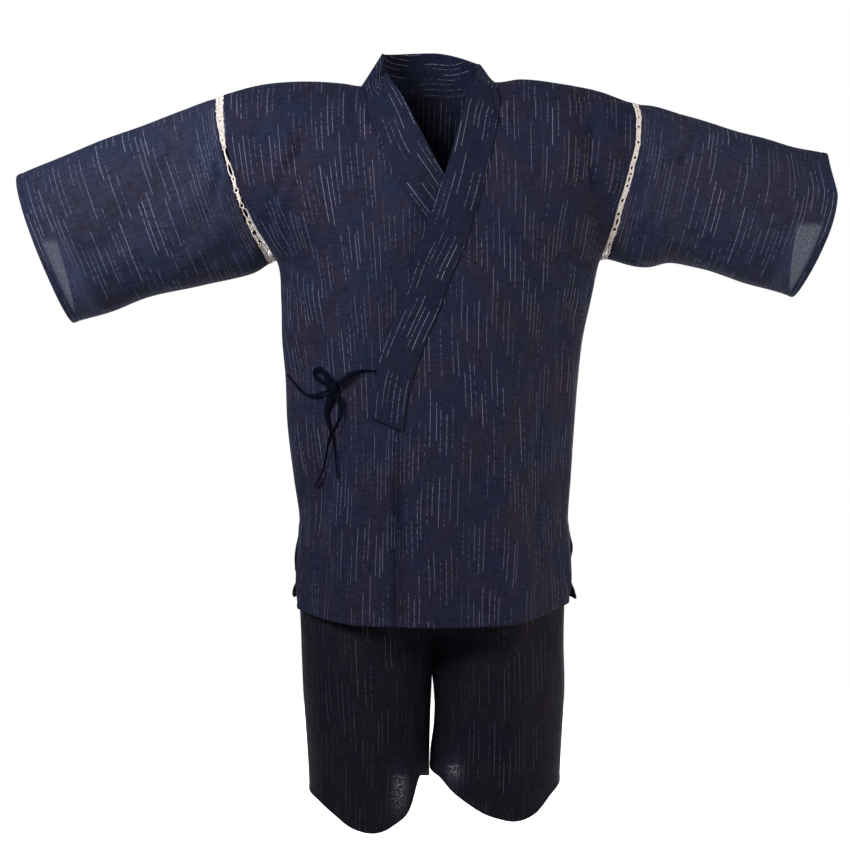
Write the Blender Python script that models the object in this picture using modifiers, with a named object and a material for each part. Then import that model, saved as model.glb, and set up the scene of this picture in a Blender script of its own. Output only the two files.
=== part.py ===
"""A worn jinbei set: a wrap jacket with lace-joined sleeves, and short trousers.

Metres, +Z up, +X to the wearer's left, -Y to the wearer's front. The origin is at
the foot of the neck, level with the shoulder ridge. Every panel is a wall whose
middle surface is worked out from the jacket's lengths, widths and depths, so that
the two halves, the collar and the lace all lie on one form.
"""
import math

import bmesh
import bpy
from mathutils import Vector

# ---------------------------------------------------------------- driving sizes
CLOTH = 0.0015            # wall of one panel
COLLAR_CLOTH = 0.0025     # the collar band is folded, so it is thicker
LACE_CLOTH = 0.0020
SEAM = 0.0003             # gap between two pieces along a seam
NECK_CLEAR = 0.0021       # the body's edge stands off the upright collar's middle by this
LACE_CLEAR = (0.0006, 0.0019)   # the lace off the armhole's edge, at the tip and underarm
LACE_FROM_SLEEVE = 0.0008
RIGHT, LEFT = -1, 1       # the wearer's sides

HEM_FRONT = -0.719        # jacket hem, middle front
HEM_BACK = -0.700
SLIT_TOP = -0.592         # the side seams are open below this
SLIT_FRONT = 0.040        # how far forward the front flap's corner stands
SLIT_BACK = 0.004
HEM_RISE = {RIGHT: 0.012, LEFT: 0.020}     # how much higher the front hem hangs at the right, left side
RISE_FROM, RISE_TO = 0.095, 0.184    # across the front
RISE_BELOW = -0.650
UNDERARM = {RIGHT: -0.238, LEFT: -0.238}
SHOULDER_TIP = {RIGHT: (0.280, -0.016), LEFT: (0.266, -0.026)}

FRONT_DROP = 0.26         # height over which the front rounds out below the shoulder
BACK_DROP = 0.21
ARM_DEPTH = {"front": 0.068, "back": 0.074}   # half depth of the armhole, each way
NECK_HALF = {RIGHT: 0.094, LEFT: 0.080}       # collar seam at the shoulder
NECK_BACK = 0.076                             # collar seam behind the neck
COLLAR_END = -0.4635                          # lower end of the collar, at its seam
RECEDE = 0.0052           # how deep the right front passes behind the left one
RECEDE_WAY = 0.034        # width over which it sinks in

FOLD_ENDS = 0.45          # share of a fold's height that is left near its ends
FOLD_TAPER = 0.12         # where along its line the fade starts
FOLDS_CALM = 0.05         # folds fade out where the face is less deep than this
ARMHOLE_EGG = 0.12        # the armhole is this much deeper above its middle than below
NECK_CLEAR_FROM = (-0.080, 0.070)  # the body's edge leaves the seam's line from here, over
COLLAR_STANDS_FROM = (-0.090, 0.090)   # the band turns upright from this height, over this
COLLAR_FOOT = 0.0035      # height over which the front widens below the collar's end
COLLAR_BOW = 0.0030       # how far the band bows out behind the neck
SLIT_APART = 0.0006       # half the gap between the two flaps at the slit's top

COLUMNS = 11              # grid of a body panel, from its inner to its outer edge
ROWS_FLAP = 4             # hem to slit top
ROWS_WAIST = 4            # slit top to collar end
ROWS_CHEST = 6            # collar end to underarm
ROWS_YOKE = 11            # underarm to shoulder ridge
ROWS_NECK = 5             # of the yoke's back rows, those that end on the collar
YOKE_EVEN = 0.625         # share of the yoke above which its columns are evenly spaced

# height z, half width of the body on the wearer's right and left; above the underarm
# these are the armhole edges
SIDE_LINE = (
    # z       right   left
    (-0.720, 0.190, 0.192),
    (-0.690, 0.190, 0.194),
    (-0.645, 0.185, 0.190),
    (-0.592, 0.181, 0.186),
    (-0.534, 0.1885, 0.1895),
    (-0.455, 0.1975, 0.1945),
    (-0.397, 0.1995, 0.1990),
    (-0.344, 0.204, 0.205),
    (-0.292, 0.205, 0.2160),
    (-0.238, 0.211, 0.2275),
    (-0.218, 0.221, 0.233),
    (-0.200, 0.232, 0.2385),
    (-0.165, 0.2485, 0.2475),
    (-0.122, 0.263, 0.260),
    (-0.085, 0.2725, 0.2685),
    (-0.050, 0.277, 0.271),
    (-0.016, 0.280, 0.267),
)

# height z, depth of the front and of the back from the middle plane
DEPTH_LINE = (
    # z       front   back
    (-0.722, 0.143, 0.128),
    (-0.600, 0.140, 0.126),
    (-0.480, 0.137, 0.121),
    (-0.360, 0.134, 0.117),
    (-0.240, 0.131, 0.120),
    (-0.120, 0.129, 0.119),
    (0.060, 0.126, 0.115),
)

# shoulder ridge: place x across, height z
RIDGE_LINE = (
    # x       z
    (-0.300, -0.022),
    (-0.280, -0.0155),
    (-0.234, -0.003),
    (-0.180, 0.002),
    (-0.118, -0.001),
    (-0.094, -0.004),
    (-0.050, 0.018),
    (0.000, 0.040),
    (0.045, 0.022),
    (0.080, 0.002),
    (0.120, 0.005),
    (0.174, -0.001),
    (0.2285, -0.012),
    (0.266, -0.0255),
    (0.300, -0.034),
)

# collar seam, where the band is sewn to each front: height z, place x
COLLAR_SEAM = {
    LEFT: (
        # z       x
        (-0.4635, -0.037),
        (-0.406, -0.028),
        (-0.341, -0.006),
        (-0.301, 0.011),
        (-0.266, 0.023),
        (-0.220, 0.043),
        (-0.1845, 0.054),
        (-0.120, 0.072),
        (-0.066, 0.085),
        (-0.022, 0.0885),
        (0.002, 0.080),
    ),
    RIGHT: (
        (-0.4635, 0.082),
        (-0.406, 0.073),
        (-0.341, 0.051),
        (-0.301, 0.034),
        (-0.266, 0.022),
        (-0.220, 0.004),
        (-0.192, -0.008),
        (-0.162, -0.028),
        (-0.122, -0.053),
        (-0.0785, -0.0725),
        (-0.030, -0.0885),
        (-0.004, -0.094),
    ),
}

# free edge of the collar, which is the jacket's opening: height z, place x
COLLAR_EDGE = {
    LEFT: (
        # z       x
        (-0.4445, -0.0825),
        (-0.364, -0.0665),
        (-0.317, -0.049),
        (-0.2775, -0.034),
        (-0.220, -0.016),
        (-0.163, 0.003),
        (-0.129, 0.016),
        (-0.083, 0.0295),
        (-0.044, 0.040),
        (-0.001, 0.0575),
        (0.026, 0.063),
    ),
    RIGHT: (
        (-0.4445, 0.127),
        (-0.364, 0.111),
        (-0.317, 0.094),
        (-0.2775, 0.080),
        (-0.220, 0.061),
        (-0.163, 0.034),
        (-0.129, 0.016),
        (-0.092, -0.004),
        (-0.059, -0.021),
        (-0.021, -0.0415),
        (0.010, -0.0595),
        (0.040, -0.066),
    ),
}
FRONT_EDGE = {LEFT: -0.048, RIGHT: 0.093}     # front edges below the collar
NECK_TOP = 0.047          # height of the collar behind the neck
NECK_TOP_BACK = 0.060     # and how far back its free edge is there

# largest folds on the jacket: from (x, z) to (x, z), reach, height, front or back
JACKET_FOLDS = (
    # x1      z1      x2      z2     reach   height  face
    (-0.172, -0.090, -0.196, -0.236, 0.016, -0.0075, "front"),
    (-0.205, -0.060, -0.172, -0.190, 0.018, 0.0055, "front"),
    (0.206, -0.020, 0.221, -0.215, 0.016, -0.0080, "front"),
    (0.182, -0.090, 0.186, -0.260, 0.018, 0.0050, "front"),
    (-0.130, -0.290, -0.168, -0.385, 0.014, -0.0045, "front"),
    (-0.105, -0.300, -0.118, -0.385, 0.013, 0.0035, "front"),
    (-0.150, -0.440, -0.158, -0.700, 0.020, -0.0060, "front"),
    (-0.120, -0.450, -0.122, -0.700, 0.017, 0.0045, "front"),
    (0.135, -0.290, 0.150, -0.700, 0.022, -0.0060, "front"),
    (0.098, -0.420, 0.106, -0.700, 0.022, 0.0045, "front"),
    (0.020, -0.500, 0.030, -0.700, 0.026, 0.0035, "front"),
    (-0.165, -0.080, -0.190, -0.250, 0.020, -0.0080, "back"),
    (0.168, -0.080, 0.196, -0.250, 0.020, -0.0080, "back"),
    (-0.110, -0.330, -0.120, -0.690, 0.026, 0.0060, "back"),
    (0.000, -0.300, 0.004, -0.690, 0.030, -0.0060, "back"),
    (0.115, -0.360, 0.122, -0.690, 0.024, 0.0055, "back"),
    (-0.060, -0.110, 0.060, -0.130, 0.030, -0.0040, "back"),
)

SLEEVE_SIDES = 30
# sleeve sections: top x and z, bottom x and z, half depth, drop of the widest place
SLEEVE_SECTIONS = {
    RIGHT: (
        # top x   top z   bottom x bottom z depth  low
        (-0.2925, -0.0215, -0.2235, -0.2440, 0.071, 0.00),
        (-0.3150, -0.0300, -0.2440, -0.2560, 0.070, 0.05),
        (-0.3440, -0.0400, -0.2720, -0.2640, 0.068, 0.10),
        (-0.3800, -0.0525, -0.3080, -0.2700, 0.066, 0.15),
        (-0.4180, -0.0665, -0.3470, -0.2785, 0.064, 0.18),
        (-0.4580, -0.0820, -0.3870, -0.2890, 0.062, 0.20),
        (-0.4980, -0.0980, -0.4240, -0.3020, 0.060, 0.22),
        (-0.5320, -0.1125, -0.4560, -0.3130, 0.059, 0.22),
        (-0.5590, -0.1240, -0.4870, -0.3235, 0.058, 0.22),
    ),
    LEFT: (
        (0.2775, -0.0290, 0.2400, -0.2360, 0.071, 0.00),
        (0.2990, -0.0345, 0.2660, -0.2430, 0.070, 0.05),
        (0.3280, -0.0420, 0.2940, -0.2455, 0.068, 0.10),
        (0.3620, -0.0510, 0.3240, -0.2405, 0.066, 0.15),
        (0.3980, -0.0605, 0.3600, -0.2490, 0.064, 0.18),
        (0.4340, -0.0705, 0.3960, -0.2610, 0.062, 0.20),
        (0.4700, -0.0800, 0.4300, -0.2710, 0.060, 0.22),
        (0.5030, -0.0890, 0.4620, -0.2795, 0.059, 0.22),
        (0.5330, -0.0970, 0.4900, -0.2865, 0.058, 0.22),
    ),
}
CUFF_FRONT = {RIGHT: 0.005, LEFT: 0.0215}     # how far the cuff's front edge bows out
CUFF_BACK = {RIGHT: -0.010, LEFT: -0.008}
CUFF_HIGH = {RIGHT: 0.6, LEFT: 0.8}     # under 1: the cuff's edges bow most above their middle
CUFF_CORNER = {RIGHT: 0.01, LEFT: 0.25}       # the bow begins this softly below the cuff's top
SLEEVE_SETTLES = 0.25     # share of the sleeve over which its folds come up
SLEEVE_FOLD_TAPER = 0.1   # where along its line a sleeve's fold starts to fade
SLEEVE_LOW = 0.9          # how strongly a section's drop widens its lower half
# largest folds on a sleeve: turn round it (0 top front to 1 top back), from, to, height
SLEEVE_FOLDS = (
    # turn1  along1 turn2  along2 reach  height
    (0.14, 0.05, 0.30, 0.75, 0.045, -0.0070),
    (0.30, 0.05, 0.44, 0.60, 0.040, 0.0050),
    (0.86, 0.10, 0.70, 0.80, 0.045, -0.0070),
    (0.66, 0.10, 0.58, 0.60, 0.040, 0.0045),
)

LACE_REPEATS = 15         # slits along each half of an armhole
LACE_INSET = 0.0012       # share of a turn that parts the front lace from the back one
# share of the way round from the shoulder tip to the underarm, width of the lace
LACE_WIDTH = ((0.0, 0.0105), (0.3, 0.0082), (0.6, 0.0078), (0.85, 0.0100), (1.0, 0.0115))
LACE_SLIT = 0.58          # share of one repeat that is open
LACE_CORD = 0.26          # share of the lace's width that each edge cord takes

# shorts
WAIST = -0.440
CROTCH = -0.800
FORK_WAY = 0.125          # height over which the front hollows down to the crotch
SHORTS_ROWS, SHORTS_COLUMNS = 14, 10
LEG_DEPTH = {"front": 0.104, "back": 0.108}
INSEAM_GAP = 0.0045       # from the middle plane to each leg
# height z, half width, front depth and back depth of the hips
HIP_LINE = (
    # z       side   front   back
    (-0.440, 0.158, 0.102, 0.100),
    (-0.520, 0.166, 0.112, 0.108),
    (-0.600, 0.1800, 0.119, 0.114),
    (-0.700, 0.1810, 0.121, 0.116),
    (-0.765, 0.1790, 0.118, 0.114),
)
# height z, side of each leg, from the middle plane
LEG_SIDE = (
    # z       right  left
    (-0.765, 0.178, 0.180),
    (-0.822, 0.176, 0.181),
    (-0.880, 0.172, 0.178),
    (-0.940, 0.1685, 0.175),
    (-0.990, 0.167, 0.174),
)
# hem of each leg: share of the way from the inseam round to the side, height of the
# right and of the left leg; the fronts hang lower, and lowest near their middles
SHORTS_HEM = {
    "front": (
        # round right    left
        (0.00, -0.9445, -0.9327),
        (0.10, -0.9380, -0.9327),
        (0.20, -0.9360, -0.9365),
        (0.27, -0.9720, -0.9476),
        (0.37, -0.9905, -0.9620),
        (0.47, -1.0000, -0.9765),
        (0.57, -0.9935, -0.9840),
        (0.68, -0.9760, -0.9765),
        (0.79, -0.9640, -0.9570),
        (1.00, -0.9610, -0.9474),
    ),
    "back": (
        (0.00, -0.9445, -0.9327),
        (0.25, -0.9600, -0.9440),
        (0.50, -0.9670, -0.9510),
        (0.75, -0.9670, -0.9510),
        (1.00, -0.9610, -0.9474),
    ),
}
INSEAM_WAY = 0.080        # height over which the legs part below the crotch
LEG_EGG = 0.05            # a leg's oval is this much deeper at its inner side
LEG_SQUARE = 0.9          # under 1: the oval is a little squared
BAND_HEIGHT = 0.034
BAND_CLOTH = 0.0025
# folds on the front of the shorts: from (x, z) to (x, z), reach, height
SHORTS_FOLDS = (
    # x1      z1      x2      z2     reach  height
    (0.012, -0.735, 0.085, -0.762, 0.014, -0.0045),
    (-0.012, -0.735, -0.070, -0.775, 0.014, -0.0040),
    (-0.105, -0.740, -0.100, -0.960, 0.022, 0.0040),
    (0.110, -0.740, 0.106, -0.950, 0.022, 0.0040),
    (-0.060, -0.800, -0.056, -0.960, 0.018, -0.0035),
    (0.060, -0.800, 0.064, -0.950, 0.018, -0.0035),
)

TIE = 0.0052              # the ties are narrow tapes, rolled up round where they are tied
KNOT_SIZE = Vector((0.0165, 0.0115, 0.0160))
KNOT = (-0.1262, -0.4075, 0.0078)             # place x, height z, height over the face
# the ties' routes: place x, height z, height over the jacket's face; the ends that
# reach the knot are left out and worked out from it
TIES = {
    "tie_collar": (
        # x       z        over
        (-0.0716, -0.3846, 0.0044), (-0.0850, -0.3840, 0.0048), (-0.0975, -0.3868, 0.0056),
        (-0.1085, -0.3935, 0.0072),
    ),
    "tie_side": (
        (-0.1905, -0.3920, 0.0042), (-0.1790, -0.4045, 0.0040), (-0.1685, -0.4145, 0.0040),
        (-0.1570, -0.4185, 0.0044), (-0.1470, -0.4165, 0.0062),
    ),
    "tie_loop_upper": (
        (-0.1318, -0.3960, 0.0096), (-0.1366, -0.3890, 0.0088), (-0.1430, -0.3832, 0.0072),
        (-0.1512, -0.3850, 0.0056), (-0.1518, -0.3925, 0.0046), (-0.1430, -0.3985, 0.0056),
    ),
    "tie_tail_long": (
        (-0.1165, -0.4275, 0.0084), (-0.1160, -0.4440, 0.0080), (-0.1200, -0.4570, 0.0104),
        (-0.1256, -0.4672, 0.0110), (-0.1319, -0.4826, 0.0092), (-0.1396, -0.5040, 0.0058),
        (-0.1471, -0.5200, 0.0054), (-0.1572, -0.5394, 0.0054),
    ),
    "tie_tail_short": (
        (-0.1335, -0.4270, 0.0066), (-0.1375, -0.4380, 0.0044), (-0.1340, -0.4540, 0.0042),
        (-0.1282, -0.4700, 0.0042), (-0.1242, -0.4894, 0.0044), (-0.1221, -0.5103, 0.0044),
        (-0.1194, -0.5269, 0.0044),
    ),
}
STARTS_AT_KNOT = ("tie_loop_upper", "tie_tail_long", "tie_tail_short")
ENDS_AT_KNOT = ("tie_collar", "tie_side", "tie_loop_upper")

MATERIALS = {
    # name            colour                roughness
    "jacket_crepe": ((0.020, 0.021, 0.042), 0.85),
    "collar_crepe": ((0.017, 0.018, 0.036), 0.85),
    "shorts_crepe": ((0.011, 0.011, 0.018), 0.88),
    "tie_tape": ((0.010, 0.011, 0.022), 0.80),
    "cream_lace": ((0.640, 0.560, 0.520), 0.75),
}


# ---------------------------------------------------------------- small helpers
def table(rows, at, column=1):
    """Read one column of a table at a place between its rows, in straight runs."""
    if rows[0][0] > rows[-1][0]:
        rows = tuple(reversed(rows))
    if at <= rows[0][0]:
        return rows[0][column]
    for low, high in zip(rows, rows[1:]):
        if at <= high[0]:
            share = (at - low[0]) / (high[0] - low[0])
            return low[column] + share * (high[column] - low[column])
    return rows[-1][column]


def smooth(share):
    """Ease from 0 to 1."""
    share = min(1.0, max(0.0, share))
    return share * share * (3.0 - 2.0 * share)


def mix(first, second, share):
    return first + (second - first) * share


def fold_height(folds, x, z, face=None):
    """Sum of the soft folds, each a bell across its line that fades at both ends."""
    total = 0.0
    for row in folds:
        x1, z1, x2, z2, reach, height = row[:6]
        if face is not None and row[6] != face:
            continue
        run = (x2 - x1) ** 2 + (z2 - z1) ** 2
        along = ((x - x1) * (x2 - x1) + (z - z1) * (z2 - z1)) / run
        near = min(1.0, max(0.0, along))
        away = math.hypot(x - mix(x1, x2, near), z - mix(z1, z2, near))
        swell = math.sin(math.pi * mix(FOLD_TAPER, 1.0 - FOLD_TAPER, near))
        fade = mix(FOLD_ENDS, 1.0, swell)
        total += height * fade * math.exp(-(away / reach) ** 2)
    return total


def material(name):
    found = bpy.data.materials.get(name)
    if found:
        return found
    colour, roughness = MATERIALS[name]
    made = bpy.data.materials.new(name)
    made.use_nodes = True
    shader = made.node_tree.nodes["Principled BSDF"]
    shader.inputs["Base Color"].default_value = (*colour, 1.0)
    shader.inputs["Roughness"].default_value = roughness
    shader.inputs["Metallic"].default_value = 0.0
    made.diffuse_color = (*colour, 1.0)
    return made


def add_piece(name, mesh, finish):
    piece = bpy.data.objects.new(name, mesh)
    piece.data.materials.append(material(finish))
    PARTS.objects.link(piece)
    return piece


def add_wall(piece, thickness):
    wall = piece.modifiers.new("wall", "SOLIDIFY")
    wall.thickness = thickness
    wall.offset = 0.0
    wall.use_even_offset = True


def cloth_panel(name, points, finish, thickness, wrap=False, drop=(), outward=None):
    """A wall through rows of points: a grid whose vertices are moved to them.

    wrap joins each row's end to its start; drop lists (row, column) cells to cut out;
    outward is a point inside the garment, so that the faces can be turned away from it.
    """
    rows, columns = len(points), len(points[0])
    work = bmesh.new()
    bmesh.ops.create_grid(work, x_segments=columns - 1, y_segments=rows - 1, size=1.0)
    work.verts.ensure_lookup_table()
    for index, vert in enumerate(work.verts):
        vert.co = Vector(points[index // columns][index % columns])
    if drop:
        work.faces.ensure_lookup_table()
        cut = [work.faces[row * (columns - 1) + column] for row, column in drop]
        bmesh.ops.delete(work, geom=cut, context="FACES")
    if wrap:
        bmesh.ops.remove_doubles(work, verts=work.verts, dist=0.00005)
    bmesh.ops.recalc_face_normals(work, faces=work.faces)
    if outward is not None:
        away = sum(face.normal.dot(face.calc_center_median() - Vector(outward)) * face.calc_area()
                   for face in work.faces)
        if away < 0:
            bmesh.ops.reverse_faces(work, faces=work.faces)
    mesh = bpy.data.meshes.new(name)
    work.to_mesh(mesh)
    work.free()
    mesh.shade_smooth()
    piece = add_piece(name, mesh, finish)
    add_wall(piece, thickness)
    return piece


# ---------------------------------------------------------------- the jacket's form
def armhole_x(side, z):
    return table(SIDE_LINE, z, 1 if side == RIGHT else 2)


def armhole_depth(side, z, face):
    """Half depth of the oval armhole at a height: 0 at the underarm and the tip."""
    low, high = UNDERARM[side], SHOULDER_TIP[side][1]
    if z <= low or z >= high:
        return 0.0
    upright = 2.0 * (z - low) / (high - low) - 1.0
    return ARM_DEPTH[face] * math.sqrt(1.0 - upright ** 2) * (1.0 + ARMHOLE_EGG * upright)


def round_out(below_ridge, drop):
    """Quarter round from the shoulder ridge (0) to the full depth (1)."""
    share = min(1.0, max(0.0, below_ridge / drop))
    return math.sqrt(max(0.0, 1.0 - (1.0 - share) ** 2))


def form_depth(side, x, z, face):
    """Distance of the jacket's face from the middle plane at (x, z), without folds."""
    column, drop = (1, FRONT_DROP) if face == "front" else (2, BACK_DROP)
    full = table(DEPTH_LINE, z, column)
    edge = armhole_x(side, z)
    at_edge = full * round_out(table(RIDGE_LINE, side * edge) - z, drop)
    flat = 0.0
    if at_edge > 0.0:
        flat = min(0.96, armhole_depth(side, z, face) / at_edge)
    across = min(1.0, abs(x) / edge)
    bend = math.sqrt(max(0.0, 1.0 - (1.0 - flat ** 2) * across ** 2))
    return full * round_out(table(RIDGE_LINE, x) - z, drop) * bend


def face_y(side, x, z, face):
    """The jacket's middle surface at (x, z), folds included."""
    depth = form_depth(side, x, z, face)
    calm = smooth(depth / FOLDS_CALM)
    depth += calm * fold_height(JACKET_FOLDS, x, z, face)
    return -depth if face == "front" else depth


def sunk(x, z):
    """How far the right front lies behind the left one at (x, z)."""
    cover = table(COLLAR_EDGE[LEFT], z) if z > COLLAR_END else FRONT_EDGE[LEFT]
    return RECEDE * smooth((x - cover + RECEDE_WAY) / RECEDE_WAY)


def side_of(x):
    return LEFT if x > 0 else RIGHT


def front_y(x, z, under):
    """The front's surface, on either side of the middle, sunk where it is the under one."""
    y = face_y(side_of(x), x, z, "front")
    return y + sunk(x, z) if under else y


# ---------------------------------------------------------------- rows of the body
def spaced(start, end, count):
    return [mix(start, end, step / count) for step in range(count)]


def low_rows(hem):
    """Heights of the level rows from the hem up to the underarm, hem first."""
    foot = COLLAR_END - COLLAR_FOOT
    heights = spaced(hem, SLIT_TOP, ROWS_FLAP) + spaced(SLIT_TOP, foot, ROWS_WAIST)
    heights += [foot] + spaced(COLLAR_END, UNDERARM[RIGHT], ROWS_CHEST)
    return heights + [UNDERARM[RIGHT]]


def inner_front(side, z):
    """Place x of a front's inner edge: the collar seam, then the front edge below it."""
    if z < COLLAR_END - COLLAR_FOOT / 2:
        return FRONT_EDGE[side]
    from_z, way = NECK_CLEAR_FROM
    return table(COLLAR_SEAM[side], z) + side * mix(SEAM, NECK_CLEAR, smooth((z - from_z) / way))


def yoke_heights(side, share):
    """Heights of a yoke row at the neck end and the sleeve end, underarm 0 to ridge 1."""
    low, tip = UNDERARM[side], SHOULDER_TIP[side][1]
    neck = COLLAR_SEAM[side][-1][0]
    inner = mix(low, neck, math.sin(math.pi / 2 * share))
    outer = mix(low, tip, (1 - math.cos(math.pi * share)) / 2)
    return inner, outer


def yoke_place(side, x_in, z_in, x_out, z_out, column, share):
    """(x, z) of a point on a yoke row, which follows the ridge as it nears it."""
    across = column / COLUMNS
    start = math.asin(max(-1.0, min(1.0, x_in / x_out)))
    curved = x_out * math.sin(mix(start, math.pi / 2, across))
    x = mix(curved, mix(x_in, x_out, across), smooth(share / YOKE_EVEN))
    z = mix(z_in, z_out, (x - x_in) / (x_out - x_in))
    chord = mix(table(RIDGE_LINE, side * abs(x_in)), table(RIDGE_LINE, x_out),
                (x - x_in) / (x_out - x_in))
    return x, z + share ** 3 * (table(RIDGE_LINE, x) - chord)


def slit_shift(z, hem, way):
    """How far a flap's side edge stands off the side line, below the slit's top."""
    if z >= SLIT_TOP:
        return 0.0
    return way * smooth((SLIT_TOP - z) / (SLIT_TOP - hem)) + SLIT_APART


def flap_place(side, x_in, z, hem, way, column):
    """A level row that stops short of the side line by the slit's opening."""
    x_out = side * armhole_x(side, z)
    depth = table(DEPTH_LINE, z, 1)
    start = math.asin(max(-1.0, min(1.0, x_in / x_out)))
    stop = math.pi / 2 - math.asin(slit_shift(z, hem, way) / depth)
    return x_out * math.sin(mix(start, stop, column / COLUMNS))


def hem_rise(side, x, z):
    """How far a point of the front is lifted, so that the hem rises to its corner."""
    out = max(0.0, min(1.0, (abs(x) - RISE_FROM) / (RISE_TO - RISE_FROM)))
    return HEM_RISE[side] * out ** 1.7 * smooth((RISE_BELOW - z) / (RISE_BELOW - HEM_FRONT))


def front_rows(side):
    """Rows of a front from the hem to the ridge."""
    under = side == RIGHT
    rows = []
    for z in low_rows(HEM_FRONT):
        x_in = inner_front(side, z)
        row = []
        for column in range(COLUMNS + 1):
            x = flap_place(side, x_in, z, HEM_FRONT, SLIT_FRONT, column)
            high = z + hem_rise(side, x, z)
            row.append((x, front_y(x, high, under), high))
        if z >= SLIT_TOP:
            row[-1] = (side * armhole_x(side, z), 0.0, z)
        rows.append(row)
    for step in range(1, ROWS_YOKE + 1):
        share = step / ROWS_YOKE
        z_in, z_out = yoke_heights(side, share)
        x_in = inner_front(side, z_in)
        x_out = side * armhole_x(side, z_out)
        row = []
        for column in range(COLUMNS + 1):
            x, z = yoke_place(side, x_in, z_in, x_out, z_out, column, share)
            row.append((x, front_y(x, z, under), z))
        if step == ROWS_YOKE:
            row = [(x, 0.0, z) for x, y, z in row]
        else:
            z_edge = row[-1][2]
            row[-1] = (row[-1][0], -armhole_depth(side, z_edge, "front"), z_edge)
        rows.append(row)
    return rows


def neck_seam(side, turn, out=0.0):
    """Point of the collar seam behind the neck; turn 0 at the shoulder, 1 at the middle."""
    x = side * (NECK_HALF[side] + out) * math.cos(math.pi / 2 * turn)
    y = (NECK_BACK + out) * math.sin(math.pi / 2 * turn)
    full = table(DEPTH_LINE, 0.0, 2)
    below = BACK_DROP * (1.0 - math.sqrt(1.0 - (y / full) ** 2))
    return Vector((x, y, table(RIDGE_LINE, x) - below))


def back_rows(side):
    """Rows of a back from just below the ridge down to the hem."""
    rows = []
    nape = neck_seam(side, 1.0, NECK_CLEAR).z
    middle = side * SEAM / 2
    for step in range(1, ROWS_YOKE + 1):
        share = 1.0 - step / ROWS_YOKE
        if step <= ROWS_NECK:
            seam = neck_seam(side, step / ROWS_NECK, NECK_CLEAR)
            x_in, z_in = side * max(abs(seam.x), SEAM / 2), seam.z
        else:
            down = (step - ROWS_NECK) / (ROWS_YOKE - ROWS_NECK)
            x_in, z_in = middle, mix(nape, UNDERARM[side], down)
        z_out = yoke_heights(side, share)[1]
        x_out = side * armhole_x(side, z_out)
        row = []
        for column in range(COLUMNS + 1):
            x, z = yoke_place(side, x_in, z_in, x_out, z_out, column, share)
            row.append((x, face_y(side, x, z, "back"), z))
        if step <= ROWS_NECK:
            row[0] = (x_in, seam.y, neck_seam(side, step / ROWS_NECK).z - SEAM)
        if step < ROWS_YOKE:
            row[-1] = (x_out, armhole_depth(side, z_out, "back"), z_out)
        else:
            row[-1] = (x_out, 0.0, z_out)
        rows.append(row)
    for z in reversed(low_rows(HEM_BACK)[:-1]):
        row = []
        for column in range(COLUMNS + 1):
            x = flap_place(side, middle, z, HEM_BACK, SLIT_BACK, column)
            row.append((x, face_y(side, x, z, "back"), z))
        if z >= SLIT_TOP:
            row[-1] = (side * armhole_x(side, z), 0.0, z)
        rows.append(row)
    return rows


def make_body(side, name):
    """One body half: front and back in one over the shoulder, joined down the side."""
    points = front_rows(side) + back_rows(side)
    return cloth_panel(name, points, "jacket_crepe", CLOTH, wrap=True, outward=(0, 0, -0.35))


# ---------------------------------------------------------------- the collar
def collar_stations(side):
    """Heights where the collar's rows are: those of its own front, collar end first."""
    heights = [z for z in low_rows(HEM_FRONT) if z > COLLAR_END - COLLAR_FOOT / 2]
    for step in range(1, ROWS_YOKE):
        heights.append(yoke_heights(side, step / ROWS_YOKE)[0])
    return heights


def collar_front_row(side, z):
    """Four points across the band, from its seam to its free edge, at one station."""
    seam, edge = COLLAR_SEAM[side], COLLAR_EDGE[side]
    share = (z - seam[0][0]) / (seam[-1][0] - seam[0][0])
    z_edge = mix(edge[0][0], edge[-1][0], share)
    ends = (table(seam, z), z), (table(edge, z_edge), z_edge)
    from_z, way = COLLAR_STANDS_FROM
    stand = smooth((z - from_z) / way)
    y_ends = [front_y(x, height, side == RIGHT) for x, height in ends]
    row = []
    for across in (0.0, 1 / 3, 2 / 3, 1.0):
        x = mix(ends[0][0], ends[1][0], across)
        height = mix(ends[0][1], ends[1][1], across)
        on_form = front_y(x, height, side == RIGHT)
        straight = mix(y_ends[0], y_ends[1], across)
        row.append(Vector((x, mix(on_form, straight, stand), height)))
    return row


def collar_neck_row(side, turn):
    seam = neck_seam(side, turn)
    edge_x, edge_z = COLLAR_EDGE[side][-1][1], COLLAR_EDGE[side][-1][0]
    edge = Vector((edge_x * math.cos(math.pi / 2 * turn),
                   NECK_TOP_BACK * math.sin(math.pi / 2 * turn),
                   mix(edge_z, NECK_TOP, smooth(turn))))
    row = []
    for across in (0.0, 1 / 3, 2 / 3, 1.0):
        point = seam.lerp(edge, across)
        bow = COLLAR_BOW * math.sin(math.pi * across)
        row.append(point + Vector((side * bow * math.cos(math.pi / 2 * turn),
                                   bow * math.sin(math.pi / 2 * turn), 0.0)))
    return row


def make_collar():
    """One long band: up the left front, round the neck, and down the right front."""
    rows = [collar_front_row(LEFT, z) for z in collar_stations(LEFT)]
    rows += [collar_neck_row(LEFT, step / ROWS_NECK) for step in range(ROWS_NECK + 1)]
    rows += [collar_neck_row(RIGHT, step / ROWS_NECK) for step in range(ROWS_NECK - 1, -1, -1)]
    rows += [collar_front_row(RIGHT, z) for z in reversed(collar_stations(RIGHT))]
    return cloth_panel("collar", rows, "collar_crepe", COLLAR_CLOTH, outward=(0, 0.01, -0.30))


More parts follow.
